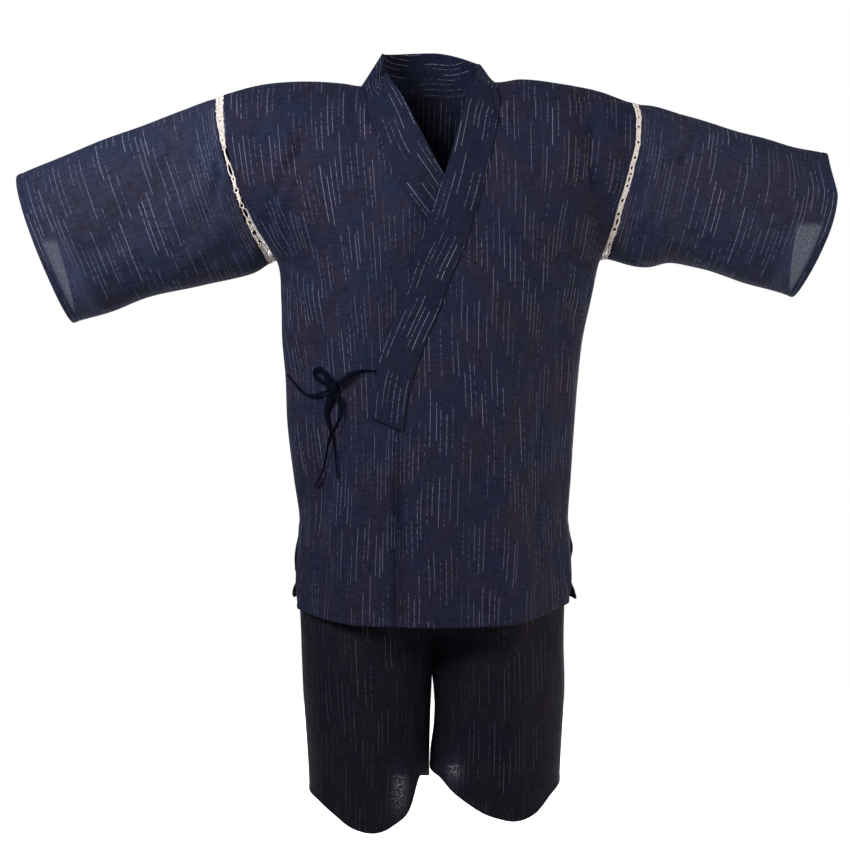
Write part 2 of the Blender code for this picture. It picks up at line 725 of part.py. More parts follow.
# ---------------------------------------------------------------- sleeves and lace
def armhole_point(side, turn):
    """Point on a body's armhole edge: turn 0 at the tip, 0.5 at the underarm, front first."""
    low, high = UNDERARM[side], SHOULDER_TIP[side][1]
    z = mix(low, high, (1 + math.cos(2 * math.pi * turn)) / 2)
    face = "front" if turn % 1.0 < 0.5 else "back"
    y = armhole_depth(side, z, face) * (-1 if face == "front" else 1)
    return Vector((side * armhole_x(side, z), y, z))


def section_point(side, section, turn):
    """Point on an oval sleeve section, in its own slanted plane."""
    top_x, top_z, low_x, low_z, depth, low = section
    upright = math.cos(2 * math.pi * turn)
    around = math.sin(2 * math.pi * turn)
    share = (1 - upright) / 2
    thin = 1.0 + (ARMHOLE_EGG - SLEEVE_LOW * low) * upright
    return Vector((mix(top_x, low_x, share), -depth * around * thin, mix(top_z, low_z, share)))


def sleeve_point(side, step, turn):
    sections = SLEEVE_SECTIONS[side]
    last = len(sections) - 1
    point = section_point(side, sections[step], turn)
    along = step / last
    first = section_point(side, sections[0], turn)
    seat = armhole_point(side, turn) - lace_reach(side, turn)
    point += (seat - first) * (1 - along) ** 3
    low = (1 - math.cos(2 * math.pi * turn)) / 2
    bow = CUFF_FRONT[side] if turn <= 0.5 else CUFF_BACK[side]
    corner = min(1.0, low / CUFF_CORNER[side]) ** 1.5
    point.x += side * bow * corner * math.sin(math.pi * low ** CUFF_HIGH[side]) * along ** 2
    lift = 0.0
    for turn1, along1, turn2, along2, reach, height in SLEEVE_FOLDS:
        near = min(1.0, max(0.0, (along - along1) / (along2 - along1)))
        away = abs(turn - mix(turn1, turn2, near))
        swell = math.sin(math.pi * mix(SLEEVE_FOLD_TAPER, 1.0 - SLEEVE_FOLD_TAPER, near))
        lift += height * swell * math.exp(-(away / reach) ** 2)
    calm = smooth(along / SLEEVE_SETTLES)
    point.y += -math.copysign(1.0, math.sin(2 * math.pi * turn) + 1e-9) * lift * calm
    return point


def lace_reach(side, turn):
    """From the sleeve's edge back to the armhole's edge: the lace fills this."""
    top_x, top_z, low_x, low_z = SLEEVE_SECTIONS[side][0][:4]
    tip_x, tip_z = SHOULDER_TIP[side]
    share = (1 - math.cos(2 * math.pi * turn)) / 2
    low = armhole_point(side, 0.5)
    at_top = Vector((side * tip_x - top_x, 0.0, tip_z - top_z))
    at_low = Vector((low.x - low_x, 0.0, low.z - low_z))
    return at_top.lerp(at_low, share).normalized() * table(LACE_WIDTH, share)


def make_sleeve(side, name):
    """A wide, straight sleeve: a tube through slanted ovals."""
    points = []
    for step in range(len(SLEEVE_SECTIONS[side])):
        ring = [sleeve_point(side, step, turn / SLEEVE_SIDES) for turn in range(SLEEVE_SIDES)]
        points.append(ring + [ring[0].copy()])
    middle = sum((ring[0] + ring[SLEEVE_SIDES // 2] for ring in points), Vector())
    middle /= 2 * len(points)
    return cloth_panel(name, points, "jacket_crepe", CLOTH, wrap=True, outward=middle)


def make_lace(side, face, name):
    """Half an armhole of lace: two edge cords and bars, with a slit cut in each repeat."""
    start, end = (0.0, 0.5) if face == "front" else (0.5, 1.0)
    start, end = start + LACE_INSET, end - LACE_INSET
    points, cuts = [], []
    pitch = (end - start) / (LACE_REPEATS + 1 - LACE_SLIT)
    turns = []
    for repeat in range(LACE_REPEATS):
        first = start + repeat * pitch
        turns += [first, first + pitch * (1 - LACE_SLIT)]
        cuts.append((len(turns) - 1, 1))
    turns += [end - pitch * (1 - LACE_SLIT), end]
    for turn in turns:
        hole = armhole_point(side, turn)
        edge = sleeve_point(side, 0, turn)
        width = (edge - hole).length
        low = (1 - math.cos(2 * math.pi * turn)) / 2
        clear = mix(*LACE_CLEAR, low ** 2) / width
        row = []
        for share in (clear, LACE_CORD, 1 - LACE_CORD, 1 - LACE_FROM_SLEEVE / width):
            row.append(hole.lerp(edge, share))
        points.append(row)
    centre = armhole_point(side, 0.0).lerp(armhole_point(side, 0.5), 0.5)
    return cloth_panel(name, points, "cream_lace", LACE_CLOTH, drop=cuts, outward=centre)


# ---------------------------------------------------------------- ties
def over_face(x, z, over):
    """Point a given height above the right front's face, square to it."""
    step = 0.004
    here = Vector((x, front_y(x, z, True), z))
    across = Vector((x + step, front_y(x + step, z, True), z)) - here
    upward = Vector((x, front_y(x, z + step, True), z + step)) - here
    return here + across.cross(upward).normalized() * over


def knot_side(toward):
    """Where a tie that comes from a point meets the knot: square to it, a seam away."""
    middle = over_face(*KNOT)
    way = (toward - middle).normalized()
    reach = Vector([half * part for half, part in zip(KNOT_SIZE / 2, way)]).length
    return middle + way * (reach + SEAM)


def tie_points(name):
    """The route on the jacket's face, on one smooth curve through its own points."""
    places = [over_face(*place) for place in TIES[name]]
    if name in STARTS_AT_KNOT:
        places.insert(0, knot_side(places[0]))
    if name in ENDS_AT_KNOT:
        places.append(knot_side(places[-1]))
    ends = [places[0] * 2 - places[1], *places, places[-1] * 2 - places[-2]]
    points = []
    for before, first, second, after in zip(ends, ends[1:], ends[2:], ends[3:]):
        steps = max(1, round((second - first).length / (TIE * 1.8)))
        for step in range(steps):
            t = step / steps
            points.append(0.5 * ((2 * first) + (second - before) * t
                                 + (2 * before - 5 * first + 4 * second - after) * t ** 2
                                 + (3 * first - before - 3 * second + after) * t ** 3))
    return points + [places[-1]]


def make_tie(name):
    points = tie_points(name)
    curve = bpy.data.curves.new(name, "CURVE")
    curve.dimensions = "3D"
    curve.bevel_depth = TIE / 2
    curve.bevel_resolution = 2
    curve.use_fill_caps = True
    spline = curve.splines.new("POLY")
    spline.points.add(len(points) - 1)
    for slot, point in zip(spline.points, points):
        slot.co = (*point, 1.0)
    curve.materials.append(material("tie_tape"))
    PARTS.objects.link(bpy.data.objects.new(name, curve))


def make_knot():
    """The knot where the two ties cross: a tight round lump."""
    work = bmesh.new()
    bmesh.ops.create_uvsphere(work, u_segments=14, v_segments=8, radius=0.5)
    bmesh.ops.scale(work, vec=KNOT_SIZE, verts=work.verts)
    mesh = bpy.data.meshes.new("tie_knot")
    work.to_mesh(mesh)
    work.free()
    mesh.shade_smooth()
    add_piece("tie_knot", mesh, "tie_tape").location = over_face(*KNOT)


# ---------------------------------------------------------------- the shorts
def shorts_hem(side, face, across):
    """Hem height at a place across a panel, 0 at the inseam and 1 at the side."""
    return table(SHORTS_HEM[face], across, 1 if side == RIGHT else 2)


def shorts_point(side, face, row, column):
    """A panel point: the hips' ellipse above, a leg's oval below, eased at the crotch."""
    across = column / SHORTS_COLUMNS
    down = row / SHORTS_ROWS
    z = mix(WAIST, shorts_hem(side, face, across), down)
    way = -1 if face == "front" else 1
    fork = smooth((CROTCH + FORK_WAY - z) / FORK_WAY)
    angle = math.pi / 2 * across
    hip_side = table(HIP_LINE, z, 1)
    hip_deep = table(HIP_LINE, z, 2 if face == "front" else 3)
    hip = Vector((side * hip_side * math.sin(angle), way * hip_deep * math.cos(angle), z))
    outer = table(LEG_SIDE, z, 1 if side == RIGHT else 2)
    gap = mix(SEAM / 2, INSEAM_GAP, smooth((CROTCH - z) / INSEAM_WAY))
    turn = math.pi * (1 - across)
    half = (outer - gap) / 2
    deep = LEG_DEPTH[face] * (1 + LEG_EGG * math.cos(turn))
    squared = math.copysign(abs(math.cos(turn)) ** LEG_SQUARE, math.cos(turn))
    leg = Vector((side * (gap + half + half * squared), way * deep * math.sin(turn), z))
    point = hip.lerp(leg, fork)
    point.x = side * max(abs(point.x), mix(SEAM / 2, CLOTH / 2 + SEAM, fork))
    if face == "front":
        point.y -= fold_height(SHORTS_FOLDS, point.x, z) * smooth(abs(point.y) / FOLDS_CALM)
    if column == SHORTS_COLUMNS or (column == 0 and fork >= 1.0):
        point.y = way * max(abs(point.y), SEAM / 2)
    return point


def make_short(side, face, name):
    points = []
    for row in range(SHORTS_ROWS + 1):
        points.append([shorts_point(side, face, row, column)
                       for column in range(SHORTS_COLUMNS + 1)])
    cloth_panel(name, points, "shorts_crepe", CLOTH, outward=(side * 0.08, 0, -0.75))


def make_waistband():
    """The casing at the top of the shorts, a plain ring."""
    sides = 4 * SHORTS_COLUMNS
    rows = []
    for level in range(3):
        z = WAIST + SEAM + BAND_HEIGHT * level / 2
        ring = []
        for turn in range(sides + 1):
            angle = 2 * math.pi * turn / sides
            deep = HIP_LINE[0][2] if math.cos(angle) > 0 else HIP_LINE[0][3]
            ring.append(Vector((HIP_LINE[0][1] * math.sin(angle), -deep * math.cos(angle), z)))
        ring[-1] = ring[0].copy()
        rows.append(ring)
    cloth_panel("waistband", rows, "shorts_crepe", BAND_CLOTH, wrap=True, outward=(0, 0, WAIST))


# ---------------------------------------------------------------- build
for old in list(bpy.data.objects):
    bpy.data.objects.remove(old, do_unlink=True)
PARTS = bpy.data.collections.new("jinbei_set")
bpy.context.scene.collection.children.link(PARTS)

SIDE_NAMES = {RIGHT: "right", LEFT: "left"}
for body_side, side_name in SIDE_NAMES.items():
    make_body(body_side, f"body_{side_name}")
    make_sleeve(body_side, f"sleeve_{side_name}")
    for panel_face in ("front", "back"):
        make_lace(body_side, panel_face, f"lace_{side_name}_{panel_face}")
        make_short(body_side, panel_face, f"shorts_{side_name}_{panel_face}")
make_collar()
make_waistband()
make_knot()
for tie_name in TIES:
    make_tie(tie_name)
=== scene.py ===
# %% [markdown]
# # A jinbei set, worn: wrap jacket and short trousers
#
# A jinbei is light summer wear. Its jacket is cut from straight widths of crinkled cotton: two
# halves that run from the front hem over the shoulder to the back hem, two straight sleeves, a
# folded collar band and two pairs of tapes. An open strip of lace joins each sleeve to the body,
# which lets air in. The plain solids of the set give the form. This lesson dresses them with
# thin cloth, and every piece here follows the same sizes as the solid that it stands for.
# %% Tools, the frame and its box
import math
from functools import partial

import bmesh
import bpy
import numpy as np
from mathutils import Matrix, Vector


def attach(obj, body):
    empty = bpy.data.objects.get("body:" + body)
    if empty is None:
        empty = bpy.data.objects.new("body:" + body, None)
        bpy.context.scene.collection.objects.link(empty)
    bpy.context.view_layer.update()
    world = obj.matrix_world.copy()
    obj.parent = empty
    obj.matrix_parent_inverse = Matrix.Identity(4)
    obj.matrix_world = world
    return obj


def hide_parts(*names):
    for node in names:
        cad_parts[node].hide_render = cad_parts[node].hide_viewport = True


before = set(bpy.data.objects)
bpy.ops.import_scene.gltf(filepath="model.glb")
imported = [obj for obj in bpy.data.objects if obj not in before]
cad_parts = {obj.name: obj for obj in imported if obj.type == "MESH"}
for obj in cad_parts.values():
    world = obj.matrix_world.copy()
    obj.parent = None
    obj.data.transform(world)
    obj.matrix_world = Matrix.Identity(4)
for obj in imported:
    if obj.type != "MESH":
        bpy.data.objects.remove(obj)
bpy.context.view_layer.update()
RIGHT, LEFT = -1, 1       # the wearer's sides: -x and +x
SIDES = {RIGHT: "right", LEFT: "left"}
COLUMN = {RIGHT: 1, LEFT: 2}      # of tables that have one column for each side
print("solids in the frame:", len(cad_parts))

# %% [markdown]
# ## The camera
#
# The set is looked at from 3 m in front, from the height of the chest and turned a little down,
# as for a catalogue. A long lens keeps the sleeves, which reach out to both sides, in proportion.
# %% Camera
CAMERA_PLACE = (-0.0095, -3.0, -0.292)
CAMERA_DOWN = math.radians(3.243)
LENS, SENSOR = 93.43, 36.0     # mm

view = bpy.data.cameras.new("catalogue_view")
view.lens = LENS
view.sensor_width = SENSOR
view.clip_end = 50.0
camera = bpy.data.objects.new("catalogue_view", view)
camera.location = CAMERA_PLACE
camera.rotation_euler = (math.pi / 2 - CAMERA_DOWN, 0.0, 0.0)
bpy.context.scene.collection.objects.link(camera)
bpy.context.scene.camera = camera
bpy.context.scene.view_settings.view_transform = "Standard"
print("camera looks", round(math.degrees(CAMERA_DOWN), 2), "degrees down")

# %% [markdown]
# ## The form that all pieces share
#
# Cloth that is sewn together has to meet along its seams. Each piece could be shaped alone and
# pushed until it fits, but it is surer to have one form, written as functions of a place across
# (x) and a height (z), and to let every piece read it. The driving sizes are short tables. One
# function reads them on a smooth curve through their rows, so a fine grid gets no kinks.
# %% Reading tables smoothly
def read(rows, at, column=1):
    """Read a table's column at any places, on a smooth curve through its rows."""
    rows = np.array(sorted(rows))
    places, values = rows[:, 0], rows[:, column]
    slopes = np.gradient(values, places)
    at = np.clip(at, places[0], places[-1])
    first = np.clip(np.searchsorted(places, at, side="right") - 1, 0, len(places) - 2)
    wide = places[first + 1] - places[first]
    t = (at - places[first]) / wide
    value = (2 * t ** 3 - 3 * t ** 2 + 1) * values[first]
    value += (t ** 3 - 2 * t ** 2 + t) * slopes[first] * wide
    value += (3 * t ** 2 - 2 * t ** 3) * values[first + 1]
    return value + (t ** 3 - t ** 2) * slopes[first + 1] * wide


def smooth(share):
    """Ease from 0 to 1."""
    share = np.clip(share, 0.0, 1.0)
    return share * share * (3.0 - 2.0 * share)


def mix(first, second, share):
    return first + (second - first) * share


def bell(away):
    return np.exp(-np.square(away))


def stacked(*values):
    """Points from their coordinates, which may be single values."""
    return np.stack(np.broadcast_arrays(*values), axis=-1)


def unit(ways):
    return ways / np.maximum(np.linalg.norm(ways, axis=-1, keepdims=True), 1e-12)


def lowness(turn):
    """How far down a point is that goes round an armhole or a sleeve: 0 at the top, 1 below."""
    return (1 - np.cos(2 * math.pi * turn)) / 2


def metres(rows):
    """Rows of a table in mm, turned to metres."""
    return tuple(tuple(value / 1000 for value in row) for row in rows)


# %% Sizes of the jacket
# single sizes are in metres, and the tables in mm
HEM_FRONT, HEM_BACK = -0.719, -0.700
SLIT_TOP = -0.592         # the side seams are open below this
SLIT_FRONT, SLIT_BACK = 0.040, 0.004      # how far a flap's edge has drawn off the side
HEM_RISE = {RIGHT: 0.012, LEFT: 0.020}     # how much higher the front hem hangs at the side
RISE_FROM, RISE_TO = 0.095, 0.184         # places x between which it rises, below a height z
RISE_BELOW = -0.650
SLIT_APART = 0.0006
UNDERARM = -0.238
SHOULDER_TIP = {RIGHT: (0.280, -0.016), LEFT: (0.266, -0.026)}
FRONT_DROP, BACK_DROP = 0.26, 0.21        # below the ridge the faces have their full depth
ARM_DEPTH = {"front": 0.068, "back": 0.074}
ARMHOLE_EGG = 0.12        # an armhole is by this share deeper above and shallower below
NECK_HALF = {RIGHT: 0.094, LEFT: 0.080}
NECK_BACK = 0.076
COLLAR_END, COLLAR_FOOT = -0.4635, 0.0035
RECEDE, RECEDE_WAY = 0.0052, 0.034        # the right front lies this far behind the left one
FRONT_EDGE = {LEFT: -0.048, RIGHT: 0.093}
NECK_TOP, NECK_TOP_BACK = 0.047, 0.060
YOKE_EVEN = 0.625         # share of the yoke's rows over which its columns become even

SIDE_LINE = metres((
    # z right left
    (-720, 190, 192),
    (-690, 190, 194),
    (-645, 185, 190),
    (-592, 181, 186),
    (-534, 188.5, 189.5),
    (-455, 197.5, 194.5),
    (-397, 199.5, 199),
    (-344, 204, 205),
    (-292, 205, 216),
    (-238, 211, 227.5),
    (-218, 221, 233),
    (-200, 232, 238.5),
    (-165, 248.5, 247.5),
    (-122, 263, 260),
    (-85, 272.5, 268.5),
    (-50, 277, 271),
    (-16, 280, 267),
))
DEPTH_LINE = metres((
    # z front back
    (-722, 143, 128),
    (-600, 140, 126),
    (-480, 137, 121),
    (-360, 134, 117),
    (-240, 131, 120),
    (-120, 129, 119),
    (60, 126, 115),
))
RIDGE_LINE = metres((
    # x z
    (-300, -22),
    (-280, -15.5),
    (-234, -3),
    (-180, 2),
    (-118, -1),
    (-94, -4),
    (-50, 18),
    (0, 40),
    (45, 22),
    (80, 2),
    (120, 5),
    (174, -1),
    (228.5, -12),
    (266, -25.5),
    (300, -34),
))
COLLAR_SEAM = {
    LEFT: metres((
        # z x
        (-463.5, -37),
        (-406, -28),
        (-341, -6),
        (-301, 11),
        (-266, 23),
        (-220, 43),
        (-184.5, 54),
        (-120, 72),
        (-66, 85),
        (-22, 88.5),
        (2, 80),
    )),
    RIGHT: metres((
        (-463.5, 82),
        (-406, 73),
        (-341, 51),
        (-301, 34),
        (-266, 22),
        (-220, 4),
        (-192, -8),
        (-162, -28),
        (-122, -53),
        (-78.5, -72.5),
        (-30, -88.5),
        (-4, -94),
    )),
}
COLLAR_EDGE = {
    LEFT: metres((
        # z x
        (-444.5, -82.5),
        (-364, -66.5),
        (-317, -49),
        (-277.5, -34),
        (-220, -16),
        (-163, 3),
        (-129, 16),
        (-83, 29.5),
        (-44, 40),
        (-1, 57.5),
        (26, 63),
    )),
    RIGHT: metres((
        (-444.5, 127),
        (-364, 111),
        (-317, 94),
        (-277.5, 80),
        (-220, 61),
        (-163, 34),
        (-129, 16),
        (-92, -4),
        (-59, -21),
        (-21, -41.5),
        (10, -59.5),
        (40, -66),
    )),
}

# %% [markdown]
# ## Folds and creases
#
# Worn cloth has a few large folds, which the solids have too, and many smaller creases: pulls
# that start at the armpits and at the tied tapes, and soft upright folds in the skirt. A cloth
# simulation finds some arrangement of its own. Here each crease is listed instead, as a
# line with a bow, a reach and a height. A trough has a softer ridge at one side, fades at its
# ends and isn't even along its length, so no two look alike.
# %% Folds of the jacket
JACKET_FOLDS = {
    "front": metres((
        # x1 z1 x2 z2 reach height
        (-172, -90, -196, -236, 16, -7.5),
        (-205, -60, -172, -190, 18, 5.5),
        (206, -20, 221, -215, 16, -8),
        (182, -90, 186, -260, 18, 5),
        (-130, -290, -168, -385, 14, -4.5),
        (-105, -300, -118, -385, 13, 3.5),
        (-150, -440, -158, -700, 20, -6),
        (-120, -450, -122, -700, 17, 4.5),
        (135, -290, 150, -700, 22, -6),
        (98, -420, 106, -700, 22, 4.5),
        (20, -500, 30, -700, 26, 3.5),
    )),
    "back": metres((
        (-165, -80, -190, -250, 20, -8),
        (168, -80, 196, -250, 20, -8),
        (-110, -330, -120, -690, 26, 6),
        (0, -300, 4, -690, 30, -6),
        (115, -360, 122, -690, 24, 5.5),
        (-60, -110, 60, -130, 30, -4),
    )),
}
FOLD_ENDS, FOLD_TAPER, FOLDS_CALM = 0.45, 0.12, 0.05
RIDGE_HIGH, RIDGE_ASIDE, RIDGE_WIDE = 0.45, 1.9, 1.3      # of a crease, beside its trough's 1

# smaller creases in mm: a trough when the height is below 0, with a ridge at its lean side
JACKET_CREASES = {
    "front": (
        # x1    z1    x2    z2   bow reach height lean
        (-172, -92, -218, -214, 9, 7, -4.8, 1),
        (-203, -70, -176, -84, 3, 6, 2.7, 1),
        (-160, -120, -196, -238, 14, 6, -2.7, 1),
        (-226, -120, -214, -212, -5, 6, -2.4, -1),
        (-186, -246, -128, -300, -9, 8, -2.7, 1),
        (-196, -268, -150, -352, -6, 7, -2.4, -1),
        (-185, -292, -133, -384, 8, 6, -2.5, 1),
        (-166, -320, -140, -392, 3, 4, -1.8, -1),
        (-100, -320, -121, -394, 4, 5, -1.8, 1),
        (-183, -404, -168, -470, -5, 6, -2.1, 1),
        (-149, -455, -141, -690, 6, 6, -3.6, 1),
        (-114, -462, -114, -684, -4, 6, -2.7, -1),
        (-171, -500, -174, -708, 4, 7, -2.7, -1),
        (-84, -520, -80, -712, 3, 9, -2.1, 1),
        (219, -60, 207, -112, 4, 6, -3.9, -1),
        (207, -112, 216, -156, -3, 6, -4.2, -1),
        (196, -40, 190, -190, 8, 7, -2.7, -1),
        (189, -228, 214, -248, 4, 5, -2.4, 1),
        (150, -250, 205, -238, -5, 6, -2.2, 1),
        (176, -280, 200, -330, 4, 7, -2.1, -1),
        (114, -300, 116, -690, 5, 8, -2.7, -1),
        (166, -300, 167, -690, -6, 8, -3.3, 1),
        (140, -480, 146, -716, 3, 7, -2.2, 1),
        (60, -470, 66, -716, 4, 9, -2.0, -1),
        (4, -560, 8, -716, 2, 8, -1.8, 1),
        (79, -14, 100, -76, 3, 4, -3.9, 1),
        (85, -25, 103, -62, 2, 3, 2.1, -1),
        (-94, -22, -76, -78, -3, 4, -2.7, -1),
        (-110, -18, -100, -90, -4, 7, -1.8, -1),
        (110, -20, 136, -120, 6, 9, -1.5, 1),
        (-30, -300, 60, -330, -6, 9, -1.4, 1),
        (-40, -474, -39, -722, 1, 6, -5.0, 1),
    ),
    "back": (
        # x1    z1    x2    z2   bow reach height lean
        (-170, -90, -214, -224, 10, 7, -4.5, 1),
        (176, -84, 220, -220, -10, 7, -4.2, -1),
        (-150, -60, -100, -110, 6, 9, -2.1, 1),
        (156, -66, 90, -118, -7, 9, -2.2, -1),
        (-196, -250, -120, -292, -8, 8, -2.7, 1),
        (204, -246, 130, -300, 8, 8, -2.5, -1),
        (-186, -290, -150, -366, 5, 7, -2.2, 1),
        (192, -300, 164, -384, -6, 7, -2.4, -1),
        (-150, -330, -158, -686, 6, 9, -3.3, 1),
        (-64, -380, -70, -692, -4, 9, -2.4, -1),
        (52, -420, 60, -690, 5, 8, -2.7, 1),
        (152, -350, 160, -688, -6, 9, -3.4, -1),
        (-30, -470, -34, -694, 3, 7, -2.0, 1),
        (96, -520, 94, -690, 3, 7, -2.1, -1),
        (-60, -96, 62, -104, 9, 8, -2.0, 1),
        (-40, -190, 46, -198, -6, 10, -1.4, 1),
    ),
}


def fold_height(folds, x, z):
    """The large folds, each a bell across its line that fades at both ends."""
    total = np.zeros(np.broadcast(x, z).shape)
    for x1, z1, x2, z2, reach, height in folds:
        run = (x2 - x1) ** 2 + (z2 - z1) ** 2
        near = np.clip(((x - x1) * (x2 - x1) + (z - z1) * (z2 - z1)) / run, 0.0, 1.0)
        away = np.hypot(x - mix(x1, x2, near), z - mix(z1, z2, near))
        swell = np.sin(math.pi * mix(FOLD_TAPER, 1.0 - FOLD_TAPER, near))
        total += height * mix(FOLD_ENDS, 1.0, swell) * bell(away / reach)
    return total


def crease_height(creases, x, z):
    """The smaller creases: a trough and, beside it, a softer ridge; millimetre tables."""
    total = np.zeros(np.broadcast(x, z).shape)
    for number, row in enumerate(creases):
        x1, z1, x2, z2, bow, reach, height = (value / 1000 for value in row[:7])
        long = math.hypot(x2 - x1, z2 - z1)
        along_x, along_z = (x2 - x1) / long, (z2 - z1) / long
        along = ((x - x1) * along_x + (z - z1) * along_z) / long
        across = (x - x1) * along_z - (z - z1) * along_x
        near = np.clip(along, 0.0, 1.0)
        across = across - bow * 4 * near * (1 - near)
        uneven = 1.0 + 0.35 * np.sin(near * 9.0 + number * 2.4) * near
        wide = reach * (0.8 + 0.5 * near)
        beyond = bell((along - near) * long / (1.5 * reach))
        fade = (0.35 + 0.65 * np.sin(math.pi * near ** 0.8)) * uneven * beyond
        trough = bell(across / wide)
        ridge = bell((across - row[7] * RIDGE_ASIDE * wide) / (RIDGE_WIDE * wide))
        total += height * fade * (trough - RIDGE_HIGH * ridge)
    return total


def unrest(x, z, seed, wave=0.11, height=0.0007):
    """A slow, uneven swell that no hanging cloth is without."""
    draw = np.random.default_rng(seed)
    total = np.zeros(np.broadcast(x, z).shape)
    for _ in range(7):
        turn = draw.uniform(0, math.pi)
        size = wave * draw.uniform(0.5, 1.4)
        phase = draw.uniform(0, 2 * math.pi)
        across, up = math.cos(turn) / size, 0.6 * math.sin(turn) / size
        total += height * size / wave * np.sin(2 * math.pi * (x * across + z * up) + phase)
    return total


# %% The jacket's form
def by_side(x, right, left):
    return np.where(np.asarray(x) > 0, left, right)


def armhole_x(x, z):
    """Half width at a height, on the side where x is; above the underarm, the armhole."""
    return by_side(x, read(SIDE_LINE, z, 1), read(SIDE_LINE, z, 2))


def armhole_depth(x, z, face):
    high = by_side(x, SHOULDER_TIP[RIGHT][1], SHOULDER_TIP[LEFT][1])
    upright = np.clip(2.0 * (z - UNDERARM) / (high - UNDERARM) - 1.0, -1.0, 1.0)
    return ARM_DEPTH[face] * np.sqrt(1.0 - upright ** 2) * (1.0 + ARMHOLE_EGG * upright)


def round_out(below_ridge, drop):
    """Quarter round from the shoulder ridge (0) to the full depth (1)."""
    share = np.clip(below_ridge / drop, 0.0, 1.0)
    return np.sqrt(np.maximum(0.0, 1.0 - (1.0 - share) ** 2))


def form(x, z, face):
    """The face's depth at (x, z) without folds, its full depth and how flat its sides are."""
    column, drop = (1, FRONT_DROP) if face == "front" else (2, BACK_DROP)
    full = read(DEPTH_LINE, z, column)
    edge = armhole_x(x, z)
    at_edge = full * round_out(read(RIDGE_LINE, by_side(x, -edge, edge)) - z, drop)
    flat = np.minimum(0.96, armhole_depth(x, z, face) / np.maximum(at_edge, 1e-5))
    across = np.minimum(1.0, np.abs(x) / edge)
    bend = np.sqrt(np.maximum(0.0, 1.0 - (1.0 - flat ** 2) * across ** 2))
    return full * round_out(read(RIDGE_LINE, x) - z, drop) * bend, full, flat


def sunk(x, z):
    """How far the right front lies behind the left one."""
    cover = np.where(z > COLLAR_END, read(COLLAR_EDGE[LEFT], z), FRONT_EDGE[LEFT])
    return RECEDE * smooth((x - cover + RECEDE_WAY) / RECEDE_WAY)


CALM_WAY = 0.016          # creases die away over this, towards armholes and side seams
SEEDS = {"front": 11, "back": 23}


def on_jacket(x, z, face, under=False, over=0.0):
    """Points of the jacket's face, with folds and creases, moved outwards by over."""
    x, z = np.broadcast_arrays(np.asarray(x, float), np.asarray(z, float))
    depth, full, flat = form(x, z, face)
    edge = armhole_x(x, z)
    drop = FRONT_DROP if face == "front" else BACK_DROP
    below = read(RIDGE_LINE, x) - z
    calm = smooth(depth / FOLDS_CALM) * smooth((edge - np.abs(x)) / CALM_WAY)
    height = fold_height(JACKET_FOLDS[face], x, z)
    height += crease_height(JACKET_CREASES[face], x, z)
    height += unrest(x, z, SEEDS[face])
    height = height * calm + over
    way = -1.0 if face == "front" else 1.0
    square_x = x * (1.0 - flat ** 2) / edge ** 2
    square_y = depth / full ** 2
    square_z = np.maximum(0.0, 1.0 - below / drop) / drop
    size = np.sqrt(square_x ** 2 + square_y ** 2 + square_z ** 2)
    y = way * depth
    if under:
        y = y + sunk(x, z)
    return stacked(x + height * square_x / size, y + way * height * square_y / size,
                   z + height * square_z / size)


# %% Where a point lies on the flat cloth
ARC_STEPS = 28
GRAIN_PULL = metres((
    # z right left: mm that the grain is pulled towards the side, at most
    (-700, 56, 26),
    (-600, 64, 27),
    (-530, 70, 28),
    (-470, 69, 28),
    (-400, 61, 28),
    (-300, 44, 28),
    (-200, 27, 22),
    (-120, 11, 6),
    (-60, 2, 0),
    (60, 0, 0),
))
GRAIN_EVEN = -0.14        # above this height the grain runs straight up over the shoulder
PULLED_FROM, PULLED_OVER = {RIGHT: 0.0, LEFT: 0.09}, {RIGHT: 0.19, LEFT: 0.11}
SHOULDER_DEPTH = 0.125    # m, mean depth that the cloth curves down over


def on_cloth(x, z, face):
    """Place of (x, z) on the cloth in metres: round the body, and down from the ridge."""
    drop = FRONT_DROP if face == "front" else BACK_DROP
    round_body = np.zeros(x.shape)
    level = np.minimum(z, GRAIN_EVEN)
    last_x, last_y = np.zeros(x.shape), form(np.zeros(x.shape), level, face)[0]
    for step in range(1, ARC_STEPS + 1):
        near_x = x * math.sin(math.pi / 2 * step / ARC_STEPS)
        near_y = form(near_x, level, face)[0]
        round_body += np.hypot(near_x - last_x, near_y - last_y)
        last_x, last_y = near_x, near_y
    angles = np.linspace(0.0, math.pi / 2, 60)
    fallen = drop * (1 - np.cos(angles))
    path = np.hypot(np.diff(fallen), np.diff(SHOULDER_DEPTH * np.sin(angles)))
    path = np.concatenate(([0.0], np.cumsum(path)))
    below = read(RIDGE_LINE, x) - z
    down = np.interp(below, fallen, path) + np.maximum(0.0, below - drop)
    pulled_from = by_side(x, PULLED_FROM[RIGHT], PULLED_FROM[LEFT])
    pulled_over = by_side(x, PULLED_OVER[RIGHT], PULLED_OVER[LEFT])
    pull = by_side(x, read(GRAIN_PULL, z, 1), read(GRAIN_PULL, z, 2))
    round_body += smooth((np.abs(x) - pulled_from) / pulled_over) * pull
    way = 1.0 if face == "front" else -1.0
    return stacked(np.sign(x) * round_body, -way * down)


print("depth of the chest:", round(float(form(0.0, -0.3, "front")[0]), 3), "m")

